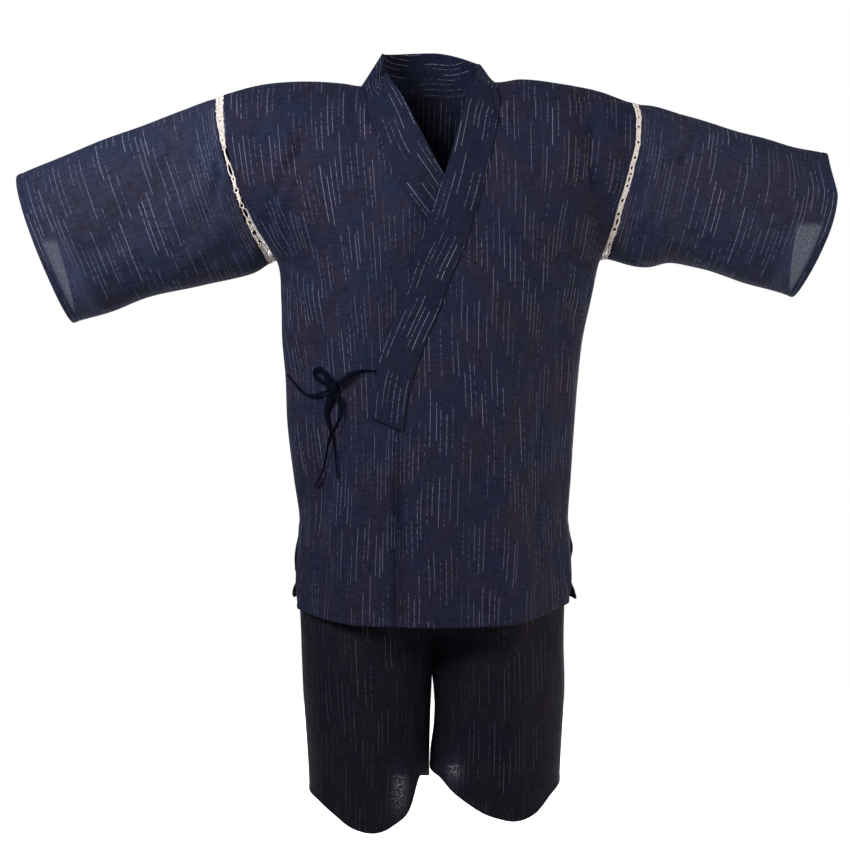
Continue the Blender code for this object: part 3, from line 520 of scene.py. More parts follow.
# %% [markdown]
# ## Cloth, dashes and crinkle
#
# The cloth is thin yarn-dyed cotton with a crinkled weave. Its ground is a dark indigo whose
# threads catch a little light where the cloth turns away. Pale slubs, a thread wide and a few
# centimetres long, are woven in along the warp, in staggered groups. A printed image could show
# this, but it would blur close up and repeat. Here the shader works it out from the place on
# the flat cloth, in metres, which every piece carries as its UV map, so the dashes follow each
# piece's own grain: upright on the body, along the collar band and round the sleeves.
# %% Colours and nodes
def colour_of(hex_code):
    """An sRGB hex colour as linear red, green, blue and 1."""
    values = [int(hex_code[place:place + 2], 16) / 255 for place in (1, 3, 5)]
    return (*[v / 12.92 if v <= 0.04045 else ((v + 0.055) / 1.055) ** 2.4 for v in values], 1.0)


def set_inputs(tree, made, inputs):
    """Set a node's inputs: values, or nodes and sockets to link."""
    for name, value in inputs.items():
        if isinstance(value, bpy.types.Node):
            value = next(socket for socket in value.outputs if socket.enabled)
        if isinstance(value, bpy.types.NodeSocket):
            tree.links.new(value, made.inputs[name])
        else:
            made.inputs[name].default_value = value


def add_node(tree, kind, inputs=None, **settings):
    """Add a node with its settings and its inputs."""
    made = tree.nodes.new("ShaderNode" + kind)
    for name, value in settings.items():
        setattr(made, name, value)
    set_inputs(tree, made, inputs or {})
    return made


def new_material(name):
    """A material, add_node for its tree, and set_inputs for its surface."""
    made = bpy.data.materials.new(name)
    made.use_nodes = True
    tree = made.node_tree
    return made, partial(add_node, tree), partial(set_inputs, tree, tree.nodes["Principled BSDF"])


# %% Woven dashes
DASH_PITCH = 0.0076       # m between the warp threads that may carry a dash
DASH_PERIOD = 0.098       # m from one dash to the next along its thread
DASH_HALF = 0.00036       # m, half width of a dash
DASH_GROUP = 6.0          # neighbouring threads whose dashes start one below the other


def woven_dashes(node, cloth, across, along):
    """How strongly a pale dash shows, 0 to 1, at a place on the cloth."""
    wander = node("TexNoise", {"Vector": cloth, "Scale": 5.0, "Detail": 0.5})
    drift = node("Math", {0: wander, 1: 0.018, 2: across}, operation="MULTIPLY_ADD")
    thread = node("Math", {0: drift, 1: DASH_PITCH}, operation="DIVIDE")
    number = node("Math", {0: thread}, operation="FLOOR")
    share = node("Math", {0: number, 1: 1 / DASH_GROUP, 2: 0.05}, operation="MULTIPLY_ADD")
    group = node("Math", {0: share}, operation="FLOOR")
    group_start = node("TexWhiteNoise", {"W": group}, noise_dimensions="1D")
    slope = node("MapRange", {"Value": group_start, "To Min": -0.5, "To Max": 0.8})
    in_group = node("Math", {0: share}, operation="FRACT")
    stepped = node("Math", {0: in_group, 1: slope, 2: group_start}, operation="MULTIPLY_ADD")
    own = node("TexWhiteNoise", {"Vector": node("CombineXYZ", {"X": number, "Y": 0.37})},
               noise_dimensions="2D")
    stagger = node("Math", {0: own, 1: 0.34, 2: stepped}, operation="MULTIPLY_ADD")
    cell = node("Math", {0: along, 1: 1 / DASH_PERIOD, 2: stagger}, operation="MULTIPLY_ADD")
    row = node("Math", {0: cell}, operation="FLOOR")
    in_cell = node("Math", {0: cell}, operation="FRACT")
    luck = node("TexWhiteNoise", {"Vector": node("CombineXYZ", {"X": number, "Y": row})},
                noise_dimensions="2D")
    chances = node("SeparateColor", {0: luck.outputs["Color"]})
    place, length, solid = (chances.outputs[part] for part in ("Red", "Green", "Blue"))

    middle = node("Math", {0: place, 1: 0.5, 2: 0.25}, operation="MULTIPLY_ADD")
    aside = node("Math", {0: node("Math", {0: thread}, operation="FRACT"), 1: middle},
                 operation="SUBTRACT")
    off = node("Math", {0: node("Math", {0: aside}, operation="ABSOLUTE"), 1: DASH_PITCH},
               operation="MULTIPLY")
    line = node("MapRange", {"Value": off, "From Min": DASH_HALF * 0.5,
                             "From Max": DASH_HALF * 1.3, "To Min": 1.0, "To Max": 0.0})
    end = node("Math", {0: length, 1: 0.38, 2: 0.44}, operation="MULTIPLY_ADD")
    left = node("Math", {0: end, 1: in_cell}, operation="SUBTRACT")
    until = node("Math", {0: left, 1: 30.0}, operation="MULTIPLY", use_clamp=True)
    since = node("Math", {0: in_cell, 1: 40.0}, operation="MULTIPLY", use_clamp=True)
    run = node("Math", {0: until, 1: since}, operation="MULTIPLY")

    stitch = node("CombineXYZ", {"X": node("Math", {0: number, 1: 3.7}, operation="MULTIPLY"),
                                 "Y": node("Math", {0: along, 1: 250.0}, operation="MULTIPLY")})
    dash_breaks_and_sheer = node("TexNoise", {"Vector": stitch, "Scale": 1.0, "Detail": 2.0, "Roughness": 0.7})
    bias = node("Math", {0: solid, 1: 1.1, 2: -2.9}, operation="MULTIPLY_ADD")
    broken = node("Math", {0: dash_breaks_and_sheer, 1: 6.2, 2: bias}, operation="MULTIPLY_ADD", use_clamp=True)
    kept = node("Math", {0: luck.outputs["Value"], 1: 0.12}, operation="GREATER_THAN")
    bright = node("Math", {0: own, 1: 0.42, 2: 0.60}, operation="MULTIPLY_ADD")
    faded = node("TexNoise", {"Vector": cloth, "Scale": 8.0, "Detail": 1.0})
    faded = node("MapRange", {"Value": faded, "From Min": 0.38, "From Max": 0.58, "To Min": 0.55})
    dash = line
    for factor in (run, broken, kept, faded, bright):
        dash = node("Math", {0: dash, 1: factor}, operation="MULTIPLY")
    return dash


# %% Crinkled cotton
WEFT = 300.0              # crinkle lines to the metre: one every 3 to 5 mm, as they wander
WARP = 640.0              # warp threads to the metre, half as many as there are, so they show
PINHOLES = 330.0          # to the metre
# painted light: where the cloth is sheer its colour is painted paler, by up to this share
PALER = 0.8               # light scatters between the threads where the cloth is sheer


def make_crepe(name, ground, warm, dash, strength, sheer=(0.0, 0.0)):
    """Crinkled cotton: two dyed tones, pale dashes and how much light its holes let by.

    A cloth that lets light by does so where its attribute sheer says, and not in its hems; there
    its colour is also painted paler, as painted light.
    """
    made, node, surface = new_material(name)
    cloth = node("UVMap", uv_map="cloth")
    place = node("SeparateXYZ", {0: cloth})
    dashes = woven_dashes(node, cloth, place.outputs["X"], place.outputs["Y"])

    lines = node("VectorMath", {0: cloth, 1: (60.0, WEFT, 0.0)}, operation="MULTIPLY")
    weft = node("TexNoise", {"Vector": lines, "Scale": 1.0, "Detail": 3.0, "Roughness": 0.6,
                             "Distortion": 0.4})
    threads = node("VectorMath", {0: cloth, 1: (WARP, 38.0, 0.0)}, operation="MULTIPLY")
    warp = node("TexNoise", {"Vector": threads, "Scale": 1.0, "Detail": 2.0})
    cloud = node("TexNoise", {"Vector": cloth, "Scale": 14.0, "Detail": 3.0, "Roughness": 0.55})
    tones = node("MapRange", {"Value": cloud, "From Min": 0.40, "From Max": 0.64})
    dyed = node("Mix", {0: tones, 6: colour_of(ground), 7: colour_of(warm)}, data_type="RGBA")
    # painted shade and painted highlight: the crinkle lines along the weft make the dyed ground
    # darker and lighter; the warp noise is the threads' own tone
    grain = node("Math", {0: weft, 1: warp}, operation="ADD")
    shade = node("MapRange", {"Value": grain, "From Min": 0.7, "From Max": 1.3, "To Min": 0.55,
                              "To Max": 1.45})
    dyed_with_crinkle_shade = node("VectorMath", {0: dyed, "Scale": shade}, operation="SCALE")
    shown = node("Math", {0: dashes, 1: strength}, operation="MULTIPLY")
    final = node("Mix", {0: shown, 6: dyed_with_crinkle_shade, 7: colour_of(dash)}, data_type="RGBA")
    # where the cloth is sheer its colour is painted paler towards a light blue, as painted light
    # scattered through the threads; the same mask lets light by
    dash_breaks_and_sheer = node("Attribute", attribute_name="sheer")
    painted_sheer_light = node("Math", {0: dash_breaks_and_sheer.outputs["Fac"], 1: PALER * sum(sheer) / 2},
                 operation="MULTIPLY")
    final = node("Mix", {0: painted_sheer_light, 6: final, 7: colour_of("#5d648c")}, data_type="RGBA")

    pucker = node("TexNoise", {"Vector": node("VectorMath", {0: cloth, 1: (70.0, 130.0, 0.0)},
                                              operation="MULTIPLY"), "Scale": 1.0, "Detail": 2.0})
    relief = node("Math", {0: pucker, 1: 1.6, 2: weft}, operation="MULTIPLY_ADD")
    relief = node("Math", {0: warp, 1: 0.35, 2: relief}, operation="MULTIPLY_ADD")
    bump = node("Bump", {"Height": relief, "Strength": 0.7, "Distance": 0.0010})
    surface({"Base Color": final, "Normal": bump, "Roughness": 0.82, "Specular IOR Level": 0.12,
             "Sheen Weight": 0.08, "Sheen Roughness": 0.30, "Sheen Tint": colour_of("#b9bfe6")})
    if any(sheer):
        holes = node("VectorMath", {0: cloth, 1: (PINHOLES, PINHOLES, 0.0)}, operation="MULTIPLY")
        open_ = node("TexNoise", {"Vector": holes, "Scale": 1.0, "Detail": 1.0})
        amount = node("MapRange", {"Value": open_, "From Min": 0.35, "From Max": 0.65,
                                   "To Min": sheer[0], "To Max": sheer[1]})
        amount = node("Math", {0: amount, 1: dash_breaks_and_sheer.outputs["Fac"]}, operation="MULTIPLY")
        surface({"Alpha": node("Math", {0: 1.0, 1: amount}, operation="SUBTRACT")})
    return made


JACKET_CREPE = make_crepe("indigo_crinkled_cotton", "#191f36", "#221f31", "#87889f", 0.88)
# the sleeves are the body's cloth, with the ground and the dashes painted lighter as painted light
SLEEVE_CREPE = make_crepe("indigo_crinkled_cotton_sleeves_painted_lighter", "#232940", "#29293c", "#9193ac", 0.85,
                          sheer=(0.19, 0.30))
COLLAR_CREPE = make_crepe("indigo_collar_cotton", "#141a30", "#191b2f", "#9092a8", 0.92)
SHORTS_CREPE = make_crepe("dark_crinkled_cotton", "#11111f", "#17141f", "#64626f", 0.62,
                          sheer=(0.02, 0.24))

# %% [markdown]
# The tapes are narrow folded strips of the same dark cotton, without dashes. The lace is cream
# cotton cord, worked into rings and bars: matt, with the twist of its plies. Thread is polyester
# sewing thread in dark navy, nearly matt.
# %% Tape, lace cord and thread
def make_tape():
    made, node, surface = new_material("folded_cotton_tape")
    ribs = node("VectorMath", {0: node("UVMap", uv_map="cloth"), 1: (1400.0, 700.0, 0.0)},
                operation="MULTIPLY")
    rib = node("TexNoise", {"Vector": ribs, "Scale": 1.0, "Detail": 2.0})
    tones = node("Mix", {0: rib, 6: colour_of("#04050c"), 7: colour_of("#0b0e20")},
                 data_type="RGBA")
    bump = node("Bump", {"Height": rib, "Strength": 0.5, "Distance": 0.0004})
    surface({"Base Color": tones, "Normal": bump, "Roughness": 0.9, "Specular IOR Level": 0.04})
    return made


def make_lace_cord():
    made, node, surface = new_material("cream_cotton_cord")
    place = node("SeparateXYZ", {0: node("UVMap", uv_map="cloth")})
    lean = node("Math", {0: place.outputs["X"], 1: 2.0, 2: place.outputs["Y"]},
                operation="MULTIPLY_ADD")
    plies = node("Math", {0: node("Math", {0: lean, 1: 2600.0}, operation="MULTIPLY")},
                 operation="SINE")
    ply = node("MapRange", {"Value": plies, "From Min": -1.0, "From Max": 1.0})
    soft = node("TexNoise", {"Vector": node("TexCoord").outputs["Object"], "Scale": 180.0,
                             "Detail": 3.0})
    # painted shade and painted highlight: the grooves between the plies are darker and their crowns
    # lighter, under a soft random tone
    depth = node("Math", {0: ply, 1: soft}, operation="MULTIPLY")
    tones = node("MapRange", {"Value": depth, "From Min": 0.0, "From Max": 0.55})
    cream = node("Mix", {0: tones, 6: colour_of("#dfd3cd"), 7: colour_of("#fffaf6")},
                 data_type="RGBA")
    bump = node("Bump", {"Height": depth, "Strength": 0.6, "Distance": 0.0004})
    surface({"Base Color": cream, "Normal": bump, "Roughness": 0.75, "Specular IOR Level": 0.3})
    return made


def make_thread():
    made, node, surface = new_material("navy_polyester_thread")
    twist = node("TexNoise", {"Vector": node("TexCoord").outputs["Object"], "Scale": 900.0})
    tones = node("Mix", {0: twist, 6: colour_of("#0d0e1a"), 7: colour_of("#1b1d2f")},
                 data_type="RGBA")
    surface({"Base Color": tones, "Roughness": 0.6, "Specular IOR Level": 0.2})
    return made


TAPE = make_tape()
LACE_CORD = make_lace_cord()
THREAD = make_thread()
print("materials:", ", ".join(material.name for material in bpy.data.materials[-7:]))

# %% [markdown]
# ## Making cloth
#
# A panel is a grid whose vertices are moved to points on the form. Extrusion or sculpting could
# make it too, but a grid keeps the cloth's own directions, which the UV map needs, and it can be
# as fine as the creases ask. The wall is a Solidify modifier, and its edges follow the cloth.
# %% Panels
CLOTH = 0.0009            # m, one layer


def grid_mesh(name, points, flat_places, wrap=False, outward=None, sheer=None):
    """A mesh through rows of points, with the UV map cloth; wrap joins what meets."""
    rows, columns = points.shape[:2]
    work = bmesh.new()
    work.loops.layers.uv.new("cloth")
    bmesh.ops.create_grid(work, x_segments=columns - 1, y_segments=rows - 1, size=1.0)
    mesh = bpy.data.meshes.new(name)
    work.to_mesh(mesh)
    work.free()
    mesh.vertices.foreach_set("co", np.asarray(points, np.float32).reshape(-1))
    corners = np.empty(len(mesh.loops), np.int32)
    mesh.loops.foreach_get("vertex_index", corners)
    places = flat_places.reshape(-1, 2)[corners].astype(np.float32)
    mesh.uv_layers["cloth"].data.foreach_set("uv", places.reshape(-1))
    if sheer is not None:
        mesh.attributes.new("sheer", "FLOAT", "POINT").data.foreach_set("value", sheer.reshape(-1))
    work = bmesh.new()
    work.from_mesh(mesh)
    if wrap:
        bmesh.ops.remove_doubles(work, verts=work.verts, dist=0.00005)
    bmesh.ops.recalc_face_normals(work, faces=work.faces)
    if outward is not None:
        middle = Vector(outward)
        away = sum(face.normal.dot(face.calc_center_median() - middle) * face.calc_area()
                   for face in work.faces)
        if away < 0:
            bmesh.ops.reverse_faces(work, faces=work.faces)
    work.to_mesh(mesh)
    work.free()
    mesh.shade_smooth()
    return mesh


def dress(name, mesh, finish, nodes, thickness=None):
    """Put a mesh in the scene in place of the solids that it stands for."""
    piece = bpy.data.objects.new(name, mesh)
    piece.data.materials.append(finish)
    bpy.context.scene.collection.objects.link(piece)
    if thickness:
        wall = piece.modifiers.new("wall", "SOLIDIFY")
        wall.thickness = thickness
        wall.offset = 0.0
    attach(piece, "root")
    if nodes:
        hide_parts(*nodes)
    return piece


def tell(piece):
    """Print how many faces a piece has and how much cloth."""
    faces = piece.data.polygons
    area = sum(face.area for face in faces)
    print(piece.name, "has", len(faces), "faces, area", round(area, 5), "m2")


def gaps_along(points, axis):
    """Lengths from point to point along an axis, added up from 0."""
    steps = np.linalg.norm(np.diff(points, axis=axis), axis=-1)
    start = np.zeros_like(np.take(steps, [0], axis=axis))
    return np.concatenate((start, np.cumsum(steps, axis=axis)), axis=axis)


def normals_of(points):
    """Unit normals of a grid of points."""
    return unit(np.cross(np.gradient(points, axis=1), np.gradient(points, axis=0)))


# %% [markdown]
# ## Ties
#
# A sewn tape at the collar's foot and one at the side seam are tied in a small bow that holds
# the fronts closed. The tapes are strips folded lengthways, so they are flat ovals that curl and
# turn. A curve with a bevel could make them, but a tube along the route lets its width, turn
# and curl change. The route is the solid's own.
# %% Tubes
def tube(work, line, half_wide, half_thick, square, turn=0.0, sides=10):
    """Add a closed tube of oval section along a line; square is what its flat side faces."""
    line = np.asarray(line, float)
    count = len(line)
    ahead = unit(np.gradient(line, axis=0))
    wide = unit(np.cross(ahead, np.broadcast_to(square, line.shape)))
    thick = np.cross(wide, ahead)
    turn = np.broadcast_to(turn, count)[:, None, None]
    angle = np.linspace(0.0, 2 * math.pi, sides + 1)[None, :, None]
    flat = np.cos(angle) * np.broadcast_to(half_wide, count)[:, None, None]
    deep = np.sin(angle) * np.broadcast_to(half_thick, count)[:, None, None]
    side_way = flat * np.cos(turn) - deep * np.sin(turn)
    up_way = flat * np.sin(turn) + deep * np.cos(turn)
    ring = line[:, None] + side_way * wide[:, None] + up_way * thick[:, None]
    made = bmesh.ops.create_grid(work, x_segments=sides, y_segments=count - 1, size=1.0)
    verts = made["verts"]
    for vert, place in zip(verts, ring.reshape(-1, 3)):
        vert.co = place
    layer = work.loops.layers.uv.active
    length = gaps_along(line, 0)
    order = {vert: number for number, vert in enumerate(verts)}
    for face in {face for vert in verts for face in vert.link_faces}:
        for loop in face.loops:
            row, column = divmod(order[loop.vert], sides + 1)
            loop[layer].uv = (column / sides * 0.006, length[row])
    seam = [vert for number, vert in enumerate(verts) if number % (sides + 1) in (0, sides)]
    bmesh.ops.remove_doubles(work, verts=seam, dist=0.00001)


def close_tubes(work, name):
    """Fill the tubes' open ends, turn their faces outwards and make the mesh."""
    rims = [edge for edge in work.edges if edge.is_boundary]
    bmesh.ops.holes_fill(work, edges=rims, sides=0)
    bmesh.ops.recalc_face_normals(work, faces=work.faces)
    mesh = bpy.data.meshes.new(name)
    work.to_mesh(mesh)
    work.free()
    mesh.shade_smooth()
    return mesh


def new_work():
    work = bmesh.new()
    work.loops.layers.uv.new("cloth")
    return work


def through(places, step=0.0015):
    """A smooth line through places, with points a small step apart."""
    places = [np.asarray(place, float) for place in places]
    ends = [2 * places[0] - places[1], *places, 2 * places[-1] - places[-2]]
    line = []
    for before, first, second, after in zip(ends, ends[1:], ends[2:], ends[3:]):
        count = max(2, round(np.linalg.norm(second - first) / step))
        for t in np.arange(count) / count:
            line.append(0.5 * (2 * first + (second - before) * t
                               + (2 * before - 5 * first + 4 * second - after) * t ** 2
                               + (3 * first - before - 3 * second + after) * t ** 3))
    return np.array(line + [places[-1]])


# %% Tied tapes
KNOT_SIZE = np.array((0.0165, 0.0115, 0.0160))
KNOT = (-0.1262, -0.4075, 0.0078)             # place x, height z, height over the cloth
KNOT_GAP = 0.0003
TIES = {
    "tie_collar": metres((
        # x z over
        (-71.6, -384.6, 4.4), (-85, -384, 4.8), (-97.5, -386.8, 5.6),
        (-108.5, -393.5, 7.2),
    )),
    "tie_side": metres((
        (-190.5, -392, 4.2), (-179, -404.5, 4), (-168.5, -414.5, 4),
        (-157, -418.5, 4.4), (-147, -416.5, 6.2),
    )),
    "tie_loop_upper": metres((
        (-131.8, -396, 9.6), (-136.6, -389, 8.8), (-143, -383.2, 7.2),
        (-151.2, -385, 5.6), (-151.8, -392.5, 4.6), (-143, -398.5, 5.6),
    )),
    "tie_tail_long": metres((
        (-116.5, -427.5, 8.4), (-116, -444, 8), (-120, -457, 10.4),
        (-125.6, -467.2, 11), (-131.9, -482.6, 9.2), (-139.6, -504, 5.8),
        (-147.1, -520, 5.4), (-157.2, -539.4, 5.4),
    )),
    "tie_tail_short": metres((
        (-133.5, -427, 6.6), (-137.5, -438, 4.4), (-134, -454, 4.2),
        (-128.2, -470, 4.2), (-124.2, -489.4, 4.4), (-122.1, -510.3, 4.4),
        (-119.4, -526.9, 4.4),
    )),
}
STARTS_AT_KNOT = ("tie_loop_upper", "tie_tail_long", "tie_tail_short")
ENDS_AT_KNOT = ("tie_collar", "tie_side", "tie_loop_upper")
# half widths at the start and the end in mm, and how far the tape is turned there, in radians
TIE_CUT = {
    "tie_collar": (1.8, 3.9, 1.0, -0.1),
    "tie_side": (1.5, 2.0, 0.9, 0.1),
    "tie_loop_upper": (4.2, 2.8, 0.0, 0.7),
    "tie_tail_long": (3.4, 1.9, 0.1, 2.0),
    "tie_tail_short": (4.6, 1.8, -0.2, 1.7),
}
TAPE_HALF = 0.0008        # m, half thickness


def over_front(x, z, over):
    return on_jacket(x, z, "front", under=True, over=over)


def knot_side(toward):
    """Where a tape that comes from a point meets the knot."""
    middle = over_front(*KNOT)
    way = unit(toward - middle)
    return middle + way * (np.linalg.norm(KNOT_SIZE / 2 * way) + KNOT_GAP)


def tie_line(name):
    places = [over_front(*place) for place in TIES[name]]
    if name in STARTS_AT_KNOT:
        places.insert(0, knot_side(places[0]))
    if name in ENDS_AT_KNOT:
        places.append(knot_side(places[-1]))
    return through(places)


for name in TIES:
    line = tie_line(name)
    wide_from, wide_to, turn_from, turn_to = TIE_CUT[name]
    way = np.linspace(0.0, 1.0, len(line))
    curl = 1.0 + 0.10 * np.sin(way * 17.0 + len(name)) + 0.06 * np.sin(way * 41.0)
    half_wide = mix(wide_from, wide_to, smooth(way / 0.6)) / 1000 * curl
    facing = line - over_front(line[:, 0], line[:, 2], -0.02)
    work = new_work()
    tube(work, line, half_wide, TAPE_HALF * (2.0 - curl), facing,
         turn=mix(turn_from, turn_to, smooth(way)), sides=12)
    piece = dress(name + "_tape", close_tubes(work, name), TAPE, (name,))

# %% [markdown]
# The knot is where the two tapes go round each other: a tight core with three turns of tape
# over it. A sphere would be too plain, so the turns are short tubes that lie across it.
# %% Knot
KNOT_TURNS = (
    # tilt about y, tilt about x, share of the knot's size, half width in mm
    (0.35, 0.10, 0.86, 2.9),
    (1.75, -0.25, 0.92, 2.6),
    (2.60, 0.45, 0.80, 2.2),
)
work = new_work()
middle = over_front(*KNOT)
angles = np.linspace(0.0, 2 * math.pi, 41)
for tilt_y, tilt_x, size, half_wide in KNOT_TURNS:
    flat = stacked(np.cos(angles), np.sin(angles), 0.12 * np.sin(2 * angles))
    turn_y = np.array(((math.cos(tilt_y), 0, math.sin(tilt_y)), (0, 1, 0),
                       (-math.sin(tilt_y), 0, math.cos(tilt_y))))
    turn_x = np.array(((1, 0, 0), (0, math.cos(tilt_x), -math.sin(tilt_x)),
                       (0, math.sin(tilt_x), math.cos(tilt_x))))
    way = flat @ turn_x.T @ turn_y.T
    loop = middle + way * KNOT_SIZE / 2 * size
    tube(work, loop, half_wide / 1000, 0.0011, way, sides=8)
core = bmesh.ops.create_uvsphere(work, u_segments=20, v_segments=12, radius=0.5)["verts"]
bmesh.ops.scale(work, vec=KNOT_SIZE * 0.84, verts=core)
bmesh.ops.translate(work, vec=middle, verts=core)
dress("tie_knot_tape", close_tubes(work, "tie_knot"), TAPE, ("tie_knot",))
print("knot of", len(KNOT_TURNS), "turns")

# %% [markdown]
# ## Stitches
#
# Hems and edges are sewn with navy thread in short, even stitches. Paint on the cloth would do
# from afar, but thread stands up, so each row is one thin tube that rises over the cloth for
# every stitch and dips into it between two.
# %% Rows of stitches
STITCH = 0.0028           # m, from one stitch to the next
THREAD_HALF = 0.00028
THREAD_SUNK, THREAD_UP = -1.6, 0.7    # its middle over the cloth, in its own half thicknesses


def stitch_row(work, line, outwards):
    """Sew a row of stitches along a line of points whose cloth faces outwards."""
    long = gaps_along(line, 0)
    even = np.linspace(0.0, long[-1], max(8, round(long[-1] / STITCH * 4)))
    line, outwards = (stacked(*(np.interp(even, long, values[:, axis]) for axis in range(3)))
                      for values in (line, outwards))
    rise = np.abs(np.sin(math.pi * even / STITCH)) ** 0.5
    lift = CLOTH / 2 + THREAD_HALF * mix(THREAD_SUNK, THREAD_UP, rise)
    tube(work, line + outwards * lift[:, None], THREAD_HALF * mix(0.6, 1.0, rise),
         THREAD_HALF * 0.8, outwards, sides=5)


def outward_of(points, middle):
    """Normals of a grid of points, turned away from a middle."""
    square = normals_of(points)
    return square * np.where(np.sum(square * (points - middle), axis=-1, keepdims=True) < 0, -1, 1)


def sew(name, slot, points, outwards, *rows):
    """Sew rows of a grid of points, whose cloth faces outwards."""
    work = new_work()
    for row in rows:
        stitch_row(work, points[row], outwards[row])
    dress(f"{name}_stitches", close_tubes(work, "stitches"), THREAD, ())


# %% [markdown]
# ## The two halves of the jacket
#
# Each half is one width of cloth from the front hem over the shoulder to the back hem, joined to
# itself down the side and to the other half down the middle of the back. It is one grid that
# wraps round the side. Rows and columns lie closer along hems, where the cloth is folded twice
# and stitched: the fold stands up a little and the stitches draw a groove beside it.
# %% Hems
BAND = 0.0070             # m, width of a hem's fold
CLOSE = np.array((0.0, 0.0009, 0.0035, 0.0060, 0.0070, 0.0078, 0.0095))       # m from an edge
FOLD_RISE, FOLD_ROUND = 0.00055, 0.0012       # m, height of a hem's fold and how softly it ends
GROOVE, GROOVE_DIP, GROOVE_REACH = 0.0006, 0.00035, 0.0008    # m, the stitches' groove beyond it
SEWN, SEWN_BACK = 5, -6   # the row that lies in the groove, from the start and from the end
SEAM_DIP, SEAM_REACH = 0.0008, 0.0025         # m, how deep and wide a seam sinks in


def hem_relief(away):
    """Height of a folded hem over the cloth at a distance from its edge."""
    fold = smooth(away / FOLD_ROUND) * (1 - smooth((away - BAND + GROOVE) / FOLD_ROUND))
    return FOLD_RISE * fold - GROOVE_DIP * bell((away - BAND - GROOVE) / GROOVE_REACH)


def from_hem(hem, top, step):
    """Heights from a hem upwards, closer over its fold."""
    close = hem + CLOSE
    rest = np.linspace(close[-1], top, round((top - close[-1]) / step) + 1)
    return np.concatenate((close[:-1], rest))


def run(start, end, step):
    """Heights from start to end, without start itself."""
    return np.linspace(start, end, max(2, round(abs(end - start) / step) + 1))[1:]


def shares_of(long, count, both=False):
    """Shares of a length, closer over the fold at its end, or over those at both ends."""
    close = CLOSE / long
    start = close if both else np.zeros(1)
    even = np.linspace(start[-1], 1 - close[-1], count)
    return np.concatenate((start[:-1], even, 1 - close[-2::-1]))


# %% Rows of a half
ROW_STEP = 0.0045
SLIT_ROW = 0.0004         # m below a slit's top, where its last open row is
YOKE_ROWS = 66
NECK_ROWS = 30            # of the back's yoke rows, those that end on the collar
TUCK = 0.004              # m that the body goes on under the collar band
TUCK_DIP = 0.0011         # m that the band presses it down
TUCKED_BELOW, TUCK_FADES = -0.17, 0.09        # a height, and over how much it ends above that
WIDE = 0.27               # m, about the width of a front
ACROSS = shares_of(WIDE, 58, both=True)[None, :]
FLAP_WAVE = metres((
    # z right left: how far the back flap's limp edge swings out at the open slit
    (-700, -1, 4),
    (-690, 1, 2),
    (-676, -3, -3),
    (-660, 0.5, -3.5),
    (-645, 3, 0),
    (-630, 3, 4),
    (-612, 1, 2),
    (-592, 0, 0),
))
TIP = {}                  # heights at which the armholes' lines meet the ridge
for side in SIDES:
    height = SHOULDER_TIP[side][1]
    for _ in range(8):
        height = float(read(RIDGE_LINE, side * armhole_x(side, height)))
    TIP[side] = height


def level_rows(hem):
    foot = COLLAR_END - COLLAR_FOOT
    return np.concatenate((from_hem(hem, SLIT_TOP - SLIT_ROW, ROW_STEP), (SLIT_TOP,),
                           run(SLIT_TOP, foot, ROW_STEP), (COLLAR_END,),
                           run(COLLAR_END, UNDERARM, ROW_STEP)))[:, None]


def tucked(z):
    """1 where a front goes on under the collar band, fading to 0 up the chest."""
    return 1 - smooth((z - TUCKED_BELOW) / TUCK_FADES)


def inner_front(side, z):
    """Place x of a front's inner edge, tucked under the collar band."""
    seam = read(COLLAR_SEAM[side], z) - side * TUCK * tucked(z)
    return np.where(z < COLLAR_END - COLLAR_FOOT / 2, FRONT_EDGE[side], seam)


def flap_places(side, x_in, z, hem, way):
    """Places x along level rows, which stop short of the side at the open slit."""
    x_out = side * armhole_x(side, z)
    shift = way * smooth((SLIT_TOP - z) / (SLIT_TOP - hem)) + SLIT_APART
    shift = np.where(z >= SLIT_TOP, 0.0, shift)
    start = np.arcsin(np.clip(x_in / x_out, -1, 1))
    stop = math.pi / 2 - np.arcsin(shift / read(DEPTH_LINE, z, 1))
    return x_out * np.sin(mix(start, stop, ACROSS))


def yoke_places(side, x_in, z_in, x_out, z_out, share):
    """Places x and heights z on yoke rows, which follow the ridge as they near it."""
    start = np.arcsin(np.clip(x_in / x_out, -1, 1))
    curved = x_out * np.sin(mix(start, math.pi / 2, ACROSS))
    x = mix(curved, mix(x_in, x_out, ACROSS), smooth(share / YOKE_EVEN))
    part = (x - x_in) / (x_out - x_in)
    chord = mix(read(RIDGE_LINE, side * np.abs(x_in)), read(RIDGE_LINE, x_out), part)
    return x, mix(z_in, z_out, part) + share ** 3 * (read(RIDGE_LINE, x) - chord)


def neck_seam(side, turn):
    """The collar seam behind the neck; turn 0 at the shoulder, 1 at the middle."""
    x = side * NECK_HALF[side] * np.cos(math.pi / 2 * turn)
    y = NECK_BACK * np.sin(math.pi / 2 * turn)
    full = read(DEPTH_LINE, 0.0, 2)
    below = BACK_DROP * (1.0 - np.sqrt(1.0 - (y / full) ** 2))
    return stacked(x, y, read(RIDGE_LINE, x) - below)


def under_collar(x, x_in):
    """How far a front is pressed down under the collar band, at its inner edge."""
    return TUCK_DIP * (1 - smooth((np.abs(x - x_in) - 0.001) / 0.006))


